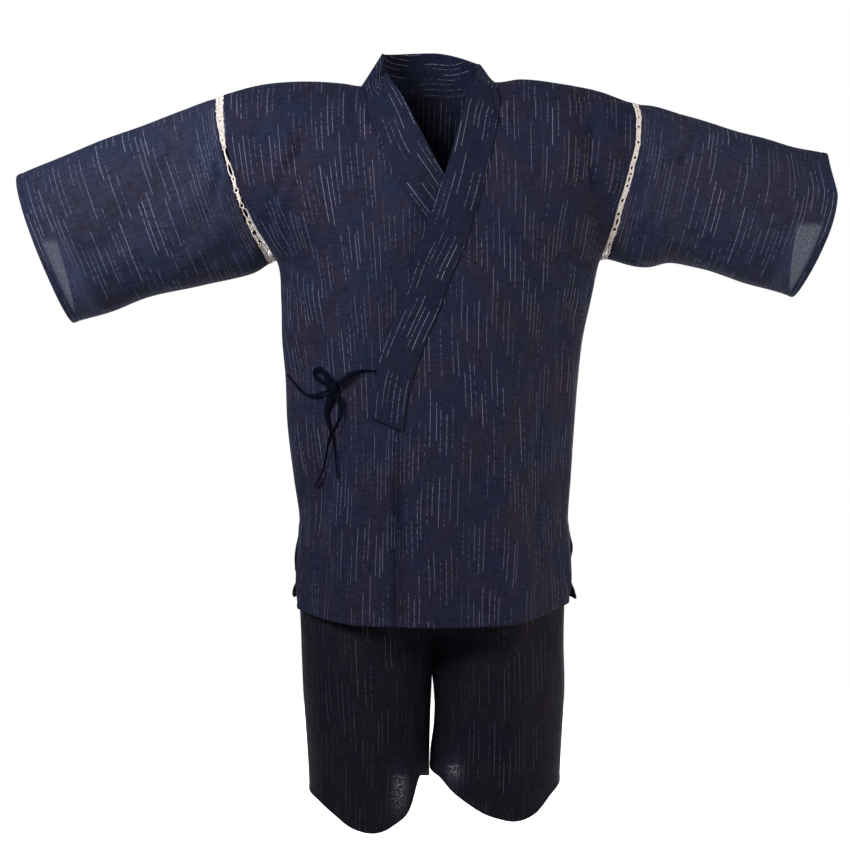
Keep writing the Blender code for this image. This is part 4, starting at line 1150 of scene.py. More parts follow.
def edge_relief(x, z, x_in, hem, way, collar_from=None):
    """Heights over the plain cloth: folded hems and edges, grooves at seams."""
    open_slit = smooth((SLIT_TOP - z) / 0.008)
    from_side = np.abs(armhole_x(x, z) - np.abs(x)) * 2.2
    relief = hem_relief(z - hem)
    if collar_from:
        below = 1 - smooth((z - collar_from) / 0.003)
        relief = relief + below * hem_relief(np.abs(x - x_in)) - (1 - below) * under_collar(x, x_in)
    else:
        relief = relief - SEAM_DIP * bell(x / SEAM_REACH)
    flap = np.abs(np.take(x, [-1], axis=1) - x) * way
    relief = relief + open_slit * hem_relief(flap)
    return relief - (1 - open_slit) * SEAM_DIP * bell(from_side / 0.004) * (z < UNDERARM)


def hem_rise(side, x, z):
    """How far points of the front are lifted, so that the hem rises to its corner."""
    out = np.clip((np.abs(x) - RISE_FROM) / (RISE_TO - RISE_FROM), 0, 1)
    return HEM_RISE[side] * out ** 1.7 * smooth((RISE_BELOW - z) / (RISE_BELOW - HEM_FRONT))


def half_points(side):
    """All rows of one half, front hem to ridge to back hem, and their places on the cloth."""
    under = side == RIGHT
    z = level_rows(HEM_FRONT)
    x_in = inner_front(side, z)
    x = flap_places(side, x_in, z, HEM_FRONT, SLIT_FRONT)
    z = np.broadcast_to(z, x.shape)
    over = edge_relief(x, z, x_in, HEM_FRONT, 1.3, COLLAR_END - COLLAR_FOOT)
    z = z + hem_rise(side, x, z)
    skirt = on_jacket(x, z, "front", under, over)
    skirt_cloth = on_cloth(x, z, "front")

    share = (np.arange(1, YOKE_ROWS + 1) / YOKE_ROWS)[:, None]
    z_in = mix(UNDERARM, COLLAR_SEAM[side][-1][0], np.sin(math.pi / 2 * share))
    z_out = mix(UNDERARM, TIP[side], lowness(share / 2))
    x_in = inner_front(side, z_in)
    x, z = yoke_places(side, x_in, z_in, side * armhole_x(side, z_out), z_out, share)
    yoke = on_jacket(x, z, "front", under, -tucked(z_in) * under_collar(x, x_in))
    yoke[-1, :, 1] = 0.0
    yoke_cloth = on_cloth(x, z, "front")

    step = np.arange(1, YOKE_ROWS + 1)[:, None]
    share = 1.0 - step / YOKE_ROWS
    seam = neck_seam(side, np.minimum(1.0, step / NECK_ROWS)[:, 0])
    down = np.maximum(0.0, (step - NECK_ROWS) / (YOKE_ROWS - NECK_ROWS))
    z_in = mix(seam[:, 2:3], UNDERARM, down)
    z_out = mix(UNDERARM, TIP[side], lowness(share / 2))
    x_in = seam[:, 0:1] * (down <= 0)
    x, z = yoke_places(side, x_in, z_in, side * armhole_x(side, z_out), z_out, share)
    over = -SEAM_DIP * bell(x / SEAM_REACH) * (z < seam[-1, 2])
    back = on_jacket(x, z, "back", over=over)
    pull = (seam[:, 1:2] - back[:, :1, 1]) * (down <= 0)
    back[..., 1] += pull * bell((x - x_in) / 0.03)
    back_cloth = on_cloth(x, z, "back")

    z = level_rows(HEM_BACK)[:-1][::-1]
    x = flap_places(side, np.zeros_like(z), z, HEM_BACK, SLIT_BACK)
    near = smooth(1 - (np.abs(x[:, -1:]) - np.abs(x)) / 0.03)
    x += side * near * read(FLAP_WAVE, z, COLUMN[side])
    z = np.broadcast_to(z, x.shape)
    over = edge_relief(x, z, 0.0, HEM_BACK, 1.0)
    tail = on_jacket(x, z, "back", over=over)
    tail_cloth = on_cloth(x, z, "back")
    return (np.concatenate((skirt, yoke, back, tail)),
            np.concatenate((skirt_cloth, yoke_cloth, back_cloth, tail_cloth)))


# %% Both halves
HALF_MIDDLE = 0.08        # m from the jacket's middle to that of a half
TRUNK = -0.35             # m, height of the trunk's middle
for side, side_name in SIDES.items():
    points, places = half_points(side)
    mesh = grid_mesh(f"body_{side_name}", points, places, wrap=True, outward=(0, 0, TRUNK))
    half = dress(f"cotton_body_{side_name}", mesh, JACKET_CREPE,
                 (f"body_{side_name}",), CLOTH)
    inner, outer = points[:, SEWN], points[:, SEWN_BACK]
    bare = (inner[:, 2] < COLLAR_END) & (inner[:, 1] < 0)
    slit = outer[:, 2] < SLIT_TOP
    sew(f"body_{side_name}", "jacket_crepe", points,
        outward_of(points, np.array((side * HALF_MIDDLE, 0.0, TRUNK))), SEWN, SEWN_BACK,
        (bare, SEWN), (slit & (outer[:, 1] < 0), SEWN_BACK), (slit & (outer[:, 1] > 0), SEWN_BACK))
    tell(half)

# %% [markdown]
# ## The collar band
#
# The band is a long strip folded lengthways, stitched to the neck and both fronts. It stands a
# little above the fronts, with a soft fold at its free edge. A flat strip with a wall would have
# a sharp edge there, so the band is a closed tube of flat section that rounds off at both edges.
# %% Band
BAND_HALF = 0.00125       # m, half the folded band's thickness
BAND_SHARES = np.array((0.0, 0.006, 0.016, 0.034, 0.07, 0.14, 0.22, 0.31, 0.40, 0.50,
                        0.60, 0.69, 0.78, 0.86, 0.93, 0.966, 0.984, 0.994, 1.0))[None, :]
BAND_MIDDLE = 9           # which share is in the band's middle
BAND_PUFF, BAND_WAVE = 0.25, 0.0005           # it is thicker there, and goes up and down
ON_THE_FRONT = 60         # a row whose outside faces the front
INNER_CLOTH = np.array((0.2, 0.0))            # m, so that the inner layer has other dashes
COLLAR_SEWN = 3           # which share the band is stitched at
NECK_STATIONS = 40
COLLAR_LAP = 0.0035       # m that the band comes down over the body's edge behind the neck
COLLAR_BOW = 0.0030       # m that the band bulges behind the neck
COLLAR_STANDS_FROM, COLLAR_STANDS_WAY = -0.090, 0.090


def collar_front(side, z):
    """Rows across the band at heights z of its seam: seam to free edge."""
    seam, edge = COLLAR_SEAM[side], COLLAR_EDGE[side]
    share = (z - seam[0][0]) / (seam[-1][0] - seam[0][0])
    edge_z = mix(edge[0][0], edge[-1][0], share)
    x = mix(read(seam, z), read(edge, edge_z), BAND_SHARES)
    height = mix(z, edge_z, BAND_SHARES)
    stand = smooth((z - COLLAR_STANDS_FROM) / COLLAR_STANDS_WAY)
    lay = on_jacket(x, height, "front", side == RIGHT, over=0.0009)
    straight = mix(lay[:, :1, 1], lay[:, -1:, 1], BAND_SHARES)
    lay[..., 1] = mix(lay[..., 1], straight, stand)
    return lay


def collar_neck(side, turn):
    """Rows across the band behind the neck; turn 0 at the shoulder, 1 at the middle."""
    foot = neck_seam(side, turn)
    round_x, round_y = np.cos(math.pi / 2 * turn), np.sin(math.pi / 2 * turn)
    lap = COLLAR_LAP * smooth(turn * 3)
    foot += stacked(side * 0.5 * lap * round_x, 0.5 * lap * round_y, -lap)
    edge_z, edge_x = COLLAR_EDGE[side][-1]
    edge = stacked(edge_x * round_x, NECK_TOP_BACK * round_y, mix(edge_z, NECK_TOP, smooth(turn)))
    share = BAND_SHARES[0][None, :, None]
    rows = mix(foot[:, None], edge[:, None], share)
    bow = COLLAR_BOW * np.sin(math.pi * share[..., 0]) * smooth(turn * 3)[:, None]
    return rows + stacked(side * bow * round_x[:, None], bow * round_y[:, None], 0.0)


rows = []
for side, order in ((LEFT, 1), (RIGHT, -1)):
    top = COLLAR_SEAM[side][-1][0]
    heights = np.concatenate(((COLLAR_END,), COLLAR_END + np.array((0.0008, 0.0022)),
                              np.linspace(COLLAR_END + 0.005, top, 128)))[:-1, None]
    turns = np.linspace(0.0, 1.0, NECK_STATIONS)[:None if order > 0 else -1]
    rows.append(np.concatenate((collar_front(side, heights), collar_neck(side, turns)))[::order])
middle_surface = np.concatenate(rows)
length = gaps_along(middle_surface, 0)[:, BAND_MIDDLE]
width = gaps_along(middle_surface, 1)
square = normals_of(middle_surface)
square *= np.sign(-square[ON_THE_FRONT, BAND_MIDDLE, 1])
edge_away = np.minimum(width, width[:, -1:] - width)
end_away = np.minimum(length, length[-1] - length)[:, None]
thick = BAND_HALF
for away, rounding in ((edge_away, 0.0016), (end_away, 0.0014)):
    thick = thick * np.sqrt(1 - (1 - np.clip(away / rounding, 0, 1)) ** 2)
swell = np.sin(width / width[:, -1:] * math.pi)
half = (thick * (1.0 + BAND_PUFF * swell))[..., None]
crest = middle_surface + square * (BAND_WAVE * np.sin(length * 47.0)[:, None] * swell)[..., None]
outer, inner = crest + square * half, crest - square * half
ring = np.concatenate((outer, inner[:, -2::-1]), axis=1)
cloth = stacked(width, length[:, None])
places = np.concatenate((cloth, cloth[:, -2::-1] + INNER_CLOTH), axis=1)
mesh = grid_mesh("collar", ring, places, wrap=True)
band = dress("folded_collar_band", mesh, COLLAR_CREPE, ("collar",))
sew("collar", "collar_crepe", outer, square, (slice(None), COLLAR_SEWN))
print("collar band", round(float(length[-1]), 3), "m long,",
      round(float(width[:, -1].mean()) * 1000, 1), "mm wide")

# %% [markdown]
# ## Sleeves
#
# A jinbei's sleeve is a straight, wide tube, cut as one rectangle and sewn to itself under the
# arm. Held out sideways it hangs open at the cuff, and its cloth sags in long diagonal folds
# from the shoulder. It is lofted through slanted ovals.
# %% Sleeve form
SLEEVE_LINES = {
    RIGHT: metres((
        # top x, top z, bottom x, bottom z at every step from the armhole to the cuff
        (-292.5, -21.5, -223.5, -244),
        (-315, -30, -244, -256),
        (-344, -40, -272, -264),
        (-380, -52.5, -308, -270),
        (-418, -66.5, -347, -278.5),
        (-458, -82, -387, -289),
        (-498, -98, -424, -302),
        (-532, -112.5, -456, -313),
        (-559, -124, -487, -323.5),
    )),
    LEFT: metres((
        (277.5, -29, 240, -236),
        (299, -34.5, 266, -243),
        (328, -42, 294, -245.5),
        (362, -51, 324, -240.5),
        (398, -60.5, 360, -249),
        (434, -70.5, 396, -261),
        (470, -80, 430, -271),
        (503, -89, 462, -279.5),
        (533, -97, 490, -286.5),
    )),
}
SLEEVE_DEEP = (
    # half depth in m at every step, and by how much the lower part is deeper
    (0.071, 0.0), (0.07, 0.05), (0.068, 0.1), (0.066, 0.15), (0.064, 0.18),
    (0.062, 0.2), (0.06, 0.22), (0.059, 0.22), (0.058, 0.22),
)
SLEEVE_SECTIONS = {side: [(step, *line, *deep) for step, (line, deep) in
                          enumerate(zip(SLEEVE_LINES[side], SLEEVE_DEEP))] for side in SIDES}
LAST = 8
CUFF_FRONT = {RIGHT: 0.005, LEFT: 0.0215}     # how far the cuff's edges bow out
CUFF_BACK = {RIGHT: -0.010, LEFT: -0.008}
CUFF_HIGH = {RIGHT: 0.6, LEFT: 0.8}           # under 1: they bow most above their middle
CUFF_CORNER = {RIGHT: 0.01, LEFT: 0.30}       # how softly the bow begins below the cuff's top
SLEEVE_SETTLES = 0.25     # share of its length over which the folds begin
SLEEVE_LOW = 0.9          # share of the low column by which its lower part is deeper
CUFF_SHEER = {
    # height under which the cuff lets light by, how fast that begins, from where along
    RIGHT: (-0.208, 0.009, 0.80),
    LEFT: (-0.186, 0.009, 0.80),
}
CUFF_HEM = 0.013          # m from the edge where the cuff is never sheer
LACE_WIDTH = {
    # share down the armhole, width in m
    RIGHT: ((0.0, 0.0112), (0.14, 0.0100), (0.32, 0.0078), (0.60, 0.0076), (0.85, 0.0098),
            (1.0, 0.0112)),
    LEFT: ((0.0, 0.0092), (0.20, 0.0072), (0.60, 0.0072), (0.80, 0.0084), (0.92, 0.0098),
           (1.0, 0.0106)),
}
SLEEVE_FOLDS = (
    # turn1  along1 turn2  along2 reach  height
    (0.14, 0.05, 0.30, 0.75, 0.045, -0.0070),
    (0.30, 0.05, 0.44, 0.60, 0.040, 0.0050),
    (0.86, 0.10, 0.70, 0.80, 0.045, -0.0070),
    (0.66, 0.10, 0.58, 0.60, 0.040, 0.0045),
)
RING = 0.50               # m round a sleeve, and LONG along it, which the creases are placed by
LONG = 0.28
# creases in mm along the sleeve and round it from its top: front first, then the back
SLEEVE_CREASES = {
    RIGHT: (
        # along1 round1 along2 round2 bow reach height lean
        (10, 30, 110, 120, 12, 9, -3.5, 1),
        (60, 110, 96, 128, 5, 8, -4.1, -1),
        (8, 100, 90, 160, -8, 8, -2.2, 1),
        (20, 190, 120, 205, 6, 8, -2.0, -1),
        (100, 60, 240, 90, -10, 10, -2.2, 1),
        (150, 150, 270, 170, 8, 9, -1.8, -1),
        (30, 20, 150, 44, 6, 8, 1.6, 1),
        (180, 100, 276, 112, 4, 8, -1.5, 1),
        (20, 470, 150, 400, -10, 9, -3.2, -1),
        (60, 400, 200, 350, 8, 9, -2.2, 1),
        (10, 330, 110, 300, -6, 8, -2.3, -1),
        (150, 450, 270, 430, 6, 10, -1.8, 1),
    ),
    LEFT: (
        (14, 20, 90, 58, 8, 8, -2.4, 1),
        (92, 58, 62, 112, 10, 8, -4.1, -1),
        (62, 112, 40, 196, 6, 8, -3.5, -1),
        (8, 60, 44, 150, -6, 8, -2.2, 1),
        (24, 34, 190, 52, -6, 9, 2.3, 1),
        (30, 222, 62, 236, 4, 6, -2.7, 1),
        (110, 70, 250, 110, 9, 10, -2.0, 1),
        (90, 170, 230, 190, -8, 9, -2.2, -1),
        (150, 130, 270, 150, 5, 8, -1.5, 1),
        (20, 470, 140, 396, 10, 9, -3.2, 1),
        (70, 390, 210, 350, -8, 9, -2.2, -1),
        (12, 320, 100, 296, 6, 8, -2.0, 1),
        (160, 440, 270, 430, -6, 10, -1.6, -1),
    ),
}


def armhole_point(side, turn):
    """The body's armhole edge: turn 0 at the tip, 0.5 at the underarm, front first."""
    z = mix(UNDERARM, TIP[side], (1 + np.cos(2 * math.pi * turn)) / 2)
    front = turn % 1.0 < 0.5
    y = np.where(front, -armhole_depth(side, z, "front"), armhole_depth(side, z, "back"))
    return stacked(side * armhole_x(side, z), y, z)


def lace_reach(side, turn):
    """From the sleeve's edge back to the armhole: the lace fills this."""
    top_x, top_z, low_x, low_z = SLEEVE_SECTIONS[side][0][1:5]
    tip_x, tip_z = SHOULDER_TIP[side]
    share = lowness(turn)[..., None]
    low = armhole_point(side, np.array(0.5))
    at_top = np.array((side * tip_x - top_x, 0.0, tip_z - top_z))
    at_low = np.array((low[0] - low_x, 0.0, low[2] - low_z))
    return unit(mix(at_top, at_low, share)) * read(LACE_WIDTH[side], share)


def sleeve_form(side, step, turn):
    """Points of a sleeve: step 0 at the armhole to LAST at the cuff, turn round it."""
    step, turn = np.broadcast_arrays(np.asarray(step, float), np.asarray(turn, float))

    def oval(step):
        top_x, top_z, low_x, low_z, depth, low = (
            read(SLEEVE_SECTIONS[side], step, column) for column in range(1, 7))
        upright, around = np.cos(2 * math.pi * turn), np.sin(2 * math.pi * turn)
        share = lowness(turn)
        thin = 1.0 + (ARMHOLE_EGG - SLEEVE_LOW * low) * upright
        return stacked(mix(top_x, low_x, share), -depth * around * thin, mix(top_z, low_z, share))

    points = oval(step)
    along = step / LAST
    seat = armhole_point(side, turn) - lace_reach(side, turn)
    points += (seat - oval(np.zeros_like(step))) * ((1 - along) ** 3)[..., None]
    low = lowness(turn)
    bow = np.where(turn <= 0.5, CUFF_FRONT[side], CUFF_BACK[side])
    corner = 1 - (1 - np.minimum(1.0, low / CUFF_CORNER[side])) ** 1.3
    bowed = corner * np.sin(math.pi * low ** CUFF_HIGH[side]) * along ** 2
    points[..., 0] += side * bow * bowed
    lift = np.zeros_like(along)
    for turn1, along1, turn2, along2, reach, height in SLEEVE_FOLDS:
        near = np.clip((along - along1) / (along2 - along1), 0.0, 1.0)
        away = np.abs(turn - mix(turn1, turn2, near))
        lift += height * np.sin(math.pi * mix(0.1, 0.9, near)) * bell(away / reach)
    calm = smooth(along / SLEEVE_SETTLES)
    points[..., 1] -= np.sign(np.sin(2 * math.pi * turn) + 1e-9) * lift * calm
    return points


# %% Both sleeves
SLEEVE_TURNS = 150
CLOSER = 1.18             # the sleeves' dashes lie this much closer than the jacket's
CUFF_WAVE = 0.0022        # m, how far the limp cuff swings in and out
turn = np.linspace(0.0, 1.0, SLEEVE_TURNS + 1)[None, :]
share = shares_of(LONG, 64)[:, None]
along, around, to_hem = share * LONG, turn * RING, (1 - share) * LONG
for side, side_name in SIDES.items():
    points = sleeve_form(side, LAST * share, turn)
    away = points - points.mean(axis=1, keepdims=True)
    square = normals_of(np.concatenate((points[:, -3:-1], points, points[:, 1:3]), axis=1))[:, 2:-2]
    square *= np.sign(np.sum(square * away, axis=-1, keepdims=True))
    height = sum(crease_height(SLEEVE_CREASES[side], along, around + lap)
                 for lap in (-RING, 0.0, RING))
    height += unrest(along, np.abs(around - RING / 2), 31 + side)
    height *= smooth(share / 0.07)
    height += hem_relief(to_hem)
    height += CUFF_WAVE * smooth((share - 0.75) / 0.25) * np.sin(4 * math.pi * turn + side)
    points = points + square * height[..., None]
    points[:, -1] = points[:, 0]
    middle = Vector(points.reshape(-1, 3).mean(axis=0))
    below, fading, begins = CUFF_SHEER[side]
    sheer = smooth((below - points[..., 2]) / fading) * smooth((share - begins) / 0.06)
    sheer *= smooth((to_hem - CUFF_HEM) / 0.001)
    mesh = grid_mesh(f"sleeve_{side_name}", points, stacked(along * CLOSER + 0.5, around),
                     wrap=True, outward=middle, sheer=sheer)
    sleeve = dress(f"cotton_sleeve_{side_name}", mesh, SLEEVE_CREPE,
                   (f"sleeve_{side_name}",), CLOTH)
    sew(f"cuff_{side_name}", "jacket_crepe", points,
        outward_of(points, points.mean(axis=1, keepdims=True)), SEWN_BACK)
    tell(sleeve)
    print("round the cuff:", round(float(gaps_along(points[-1], 0)[-1]), 3), "m")

# %% [markdown]
# ## Lace
#
# A strip of corded lace joins each sleeve to the body. It is worked from cotton cord: two cords
# that part round small rings and along slits, with edge cords, netting or short bars beside
# them. An image with holes would lie flat, so each cord is a tube. The strip isn't the same all
# the way down: on the right it is dense netting at the shoulder, then a narrow pair of cords
# with long loops, then open again; on the left it stays an even band with small eyes.
# %% Lace strips
LACE_INSET = 0.0012       # turns left free at both ends of a strip
LACE_MEETS = 0.03         # how close to the top the front and the back strip turn to each other
LACE_TURN = 0.56          # m round an armhole
CORD, EDGE_CORD, NET_CORD = 0.00060, 0.00048, 0.00042      # m, radii
PLUMP = 0.00016           # m, how much thicker a cord is between holes than beside them
CORDS_TOUCH = 0.85        # radii from the middle, so that two cords press into each other
NET_FROM = 0.0016         # m, narrower netting than this is left out
LACE_PARTS = {
    # share down the armhole; in mm: half width of the netting (0 without), how far the cords
    # are apart between holes, and pitch of the netting
    RIGHT: ((0.0, 5.4, 0.1, 2.6), (0.10, 5.2, 0.1, 2.6), (0.17, 4.4, 0.1, 2.6),
            (0.24, 3.4, 0.1, 2.6), (0.32, 2.1, 0.0, 2.6), (0.38, 0.0, 0.0, 2.6),
            (0.70, 0.0, 0.0, 8.0), (0.76, 2.8, 0.2, 8.0), (0.84, 4.2, 0.6, 8.5),
            (1.0, 6.0, 1.0, 9.0)),
    LEFT: ((0.0, 3.6, 0.2, 2.6), (0.06, 3.4, 0.1, 2.6), (0.17, 2.7, 0.1, 2.6),
           (0.30, 2.5, 0.1, 2.6), (0.46, 3.0, 0.1, 3.0), (0.82, 3.1, 0.1, 4.0),
           (0.90, 2.9, 0.3, 5.0), (1.0, 3.6, 0.9, 6.0)),
}
LACE_HOLES = {
    # share down, half length and half width in mm
    RIGHT: ((0.05, 0.9, 0.9), (0.10, 0.8, 0.8), (0.168, 1.5, 1.4), (0.23, 0.8, 0.8),
            (0.29, 1.1, 1.0), (0.33, 1.2, 1.0), (0.466, 6.6, 1.9), (0.525, 1.6, 1.3),
            (0.59, 2.0, 1.9), (0.667, 2.1, 2.1), (0.715, 5.4, 2.1), (0.775, 2.4, 1.6),
            (0.83, 3.2, 3.4), (0.875, 2.8, 2.4), (0.94, 6.0, 3.4)),
    LEFT: ((0.057, 1.8, 1.6), (0.104, 1.7, 1.5), (0.169, 1.9, 1.8), (0.269, 1.9, 1.8),
           (0.369, 1.9, 1.7), (0.432, 2.6, 1.4), (0.465, 1.8, 1.6), (0.506, 3.2, 1.4),
           (0.547, 1.8, 1.7), (0.63, 2.1, 2.0), (0.718, 2.1, 2.1), (0.764, 5.0, 1.7),
           (0.816, 2.4, 2.4), (0.908, 2.2, 2.1), (0.956, 4.6, 2.0)),
}
BAR_STEP, BAR_FROM = 0.024, 0.006             # turns between two bars, and before the first
BAR_OVER, BAR_SHORT = 0.0003, 0.0004          # m over the strip's middle, and short of the cloth
EYE_BULGE = 0.45          # how far an eye pushes out the edge cord at the body's side
LACE_SWAY = 0.0005        # m that the cords wander, aside and up and down
BAR_LEAN = 0.003          # turns that a bar leans, now one way and now the other


def lace_place(side, turn, aside, over):
    """A point of the strip: turn round the armhole, aside its middle towards the sleeve."""
    hole = armhole_point(side, turn)
    edge = sleeve_form(side, 0.0, turn)
    step = 0.002
    ahead = armhole_point(side, turn + step) - armhole_point(side, turn - step)
    across = unit(edge - hole)
    square = unit(side * np.cross(ahead, across))
    aside, over = np.asarray(aside)[..., None], np.asarray(over)[..., None]
    middle = (hole + edge) / 2
    middle[..., 1] *= np.minimum(1.0, np.abs(np.sin(math.pi * turn)) / LACE_MEETS)
    return middle + across * aside + square * over, square


def stretches(wanted):
    """The runs of places where wanted holds, as slices."""
    marks = np.flatnonzero(np.diff(np.concatenate(([0], wanted.astype(int), [0]))))
    return [slice(first, last) for first, last in zip(marks[::2], marks[1::2]) if last - first > 8]


def lace_strip(side, face, draw):
    """Two cords that part at holes, netting beside them, edge cords and bars to the cloth."""
    centre = 0.25 if face == "front" else 0.75
    start, end = centre - 0.25 + LACE_INSET, centre + 0.25 - LACE_INSET
    turn = np.linspace(start, end, 560)
    low = lowness(turn)
    net, apart, pitch = (read(LACE_PARTS[side], low, column) / 1000 for column in (1, 2, 3))
    hole = np.zeros_like(turn)
    for share, half_long, half_wide in LACE_HOLES[side]:
        at = np.arccos(1 - 2 * share) / (2 * math.pi)
        at = (at if face == "front" else 1 - at) + draw.uniform(-0.002, 0.002)
        away = (turn - at) * LACE_TURN * 1000 / half_long
        hole = np.maximum(hole, half_wide / 1000 * np.sqrt(np.clip(1 - away ** 2, 0, 1)))
    sway = LACE_SWAY * (np.sin(turn * 73.0 + side) + 0.6 * np.sin(turn * 190.0))
    radius = CORD + PLUMP * (1 - np.minimum(1.0, (hole + net) / 0.0008))
    inner = np.maximum(hole, apart) + radius * CORDS_TOUCH
    outer = np.maximum(net, inner)
    waves = np.cumsum(LACE_TURN * (turn[1] - turn[0]) / pitch)
    zig = np.arcsin(np.sin(waves * 2 * math.pi)) / math.pi + 0.5
    netted = net > NET_FROM
    work = new_work()

    def cord(aside, over, radius, part=slice(None)):
        line, square = lace_place(side, turn[part], (sway + aside)[part], over[part])
        radius = np.broadcast_to(radius, turn.shape)[part]
        tube(work, line, radius, radius * 0.9, square, sides=6)

    opening = sleeve_form(side, 0.0, turn) - armhole_point(side, turn)
    reach = np.linalg.norm(opening, axis=-1) / 2
    for way in (-1, 1):
        over = LACE_SWAY * way * np.cos(turn * 230.0)
        cord(way * inner, over, radius)
        bulge = EYE_BULGE * hole * (way < 0)
        for part in stretches(netted):
            cord(way * (outer + bulge), -over * 0.5, EDGE_CORD, part)
            cord(way * mix(inner, outer, zig), over * 0.8, NET_CORD, part)
            cord(way * mix(outer, inner, zig), -over * 0.8, NET_CORD, part)
        for number, at in enumerate(np.arange(start + BAR_FROM, end - BAR_FROM, BAR_STEP)):
            place = int(np.argmin(np.abs(turn - at)))
            lean = BAR_LEAN * (1 if number % 2 else -1)
            near, far = outer[place], reach[place]
            ends = ((at, near), (at + lean, (near + far) / 2), (at + lean * 1.3, far - BAR_SHORT))
            bar = through([lace_place(side, t, sway[place] + way * aside, BAR_OVER)[0]
                           for t, aside in ends], 0.0008)
            tube(work, bar, NET_CORD, NET_CORD, (0.0, -1.0, 0.0), sides=6)
    return work


draw = np.random.default_rng(5)
for side, side_name in SIDES.items():
    for face in ("front", "back"):
        name = f"lace_{side_name}_{face}"
        strip = dress(name.replace("lace", "corded_lace"), close_tubes(lace_strip(side, face, draw),
                      name), LACE_CORD, (name,))
        tell(strip)

# %% [markdown]
# ## The shorts
#
# Two fronts and two backs, cut straight and joined at the sides, the middle and the insides of
# the legs. The top is a casing with elastic. The jacket hides much of it, but it is all there.
# %% Shorts form
WAIST, CROTCH = -0.440, -0.800
FORK_WAY = 0.125          # m over the crotch in which the hips part into two legs
LEG_DEPTH = {"front": 0.104, "back": 0.108}
INSEAM = metres((
    # z right left: the insides of the legs from the middle, outwards
    (-800, 0, 0),
    (-825, 1.2, 2.8),
    (-852, 2.2, 3.7),
    (-880, 3.1, 1.8),
    (-905, 3.6, -1.8),
    (-945, 4, -2.6),
))
LEG_EGG, LEG_SQUARE = 0.05, 0.9           # a leg is deeper at its outer side, a little square
LEG_MIDDLE = 0.085        # m from the middle to that of a leg
BAND_HEIGHT = 0.034
PANEL_WIDE, PANEL_LONG = 0.27, 0.53       # m, about the size of a panel
HIP_LINE = metres((
    # z side front back
    (-440, 158, 102, 100),
    (-520, 166, 112, 108),
    (-600, 180, 119, 114),
    (-700, 181, 121, 116),
    (-765, 179, 118, 114),
))
LEG_SIDE = metres((
    # z right left
    (-765, 178, 180),
    (-822, 176, 181),
    (-880, 172, 178),
    (-940, 168.5, 175),
    (-990, 167, 174),
))
SHORTS_HEM = {
    "front": (
        # round right    left
        (0.00, -0.9445, -0.9327),
        (0.10, -0.9380, -0.9327),
        (0.20, -0.9360, -0.9365),
        (0.27, -0.9720, -0.9476),
        (0.37, -0.9905, -0.9620),
        (0.47, -1.0000, -0.9765),
        (0.57, -0.9935, -0.9840),
        (0.68, -0.9760, -0.9765),
        (0.79, -0.9640, -0.9570),
        (1.00, -0.9610, -0.9474),
    ),
    "back": (
        (0.00, -0.9445, -0.9327),
        (0.25, -0.9600, -0.9440),
        (0.50, -0.9670, -0.9510),
        (0.75, -0.9670, -0.9510),
        (1.00, -0.9610, -0.9474),
    ),
}
SHORTS_FOLDS = metres((
    # x1 z1 x2 z2 reach height
    (12, -735, 85, -762, 14, -4.5),
    (-12, -735, -70, -775, 14, -4),
    (-105, -740, -100, -960, 22, 4),
    (110, -740, 106, -950, 22, 4),
    (-60, -800, -56, -960, 18, -3.5),
    (60, -800, 64, -950, 18, -3.5),
))
SHORTS_CREASES = {
    "front": (
        # x1    z1    x2    z2   bow reach height lean
        (17, -742, 88, -745, 3, 5, -2.3, 1),
        (14, -756, 70, -790, -4, 6, -2.0, -1),
        (-14, -748, -66, -768, 4, 6, -2.1, 1),
        (-12, -770, -46, -810, -3, 5, -1.6, -1),
        (-136, -720, -128, -940, 5, 8, -2.3, 1),
        (-84, -760, -80, -960, -4, 7, -1.6, -1),
        (-38, -820, -34, -936, 3, 6, -1.8, 1),
        (136, -716, 128, -930, -5, 8, -2.3, -1),
        (84, -780, 84, -970, 4, 7, -1.7, 1),
        (36, -820, 32, -924, -3, 6, -1.8, -1),
        (-150, -480, -120, -700, 6, 9, -1.6, 1),
        (130, -480, 150, -690, -6, 9, -1.6, 1),
    ),
    "back": (
        (-120, -500, -128, -930, 8, 9, -2.3, 1),
        (124, -500, 128, -920, -8, 9, -2.3, -1),
        (-70, -700, -60, -950, 5, 8, -2.1, -1),
        (72, -700, 64, -940, -5, 8, -2.1, 1),
        (-10, -760, -70, -800, 4, 6, -2.3, 1),
        (12, -764, 76, -806, -4, 6, -2.2, 1),
        (-30, -830, -34, -940, 3, 6, -1.6, 1),
        (32, -830, 36, -930, -3, 6, -1.6, -1),
    ),
}


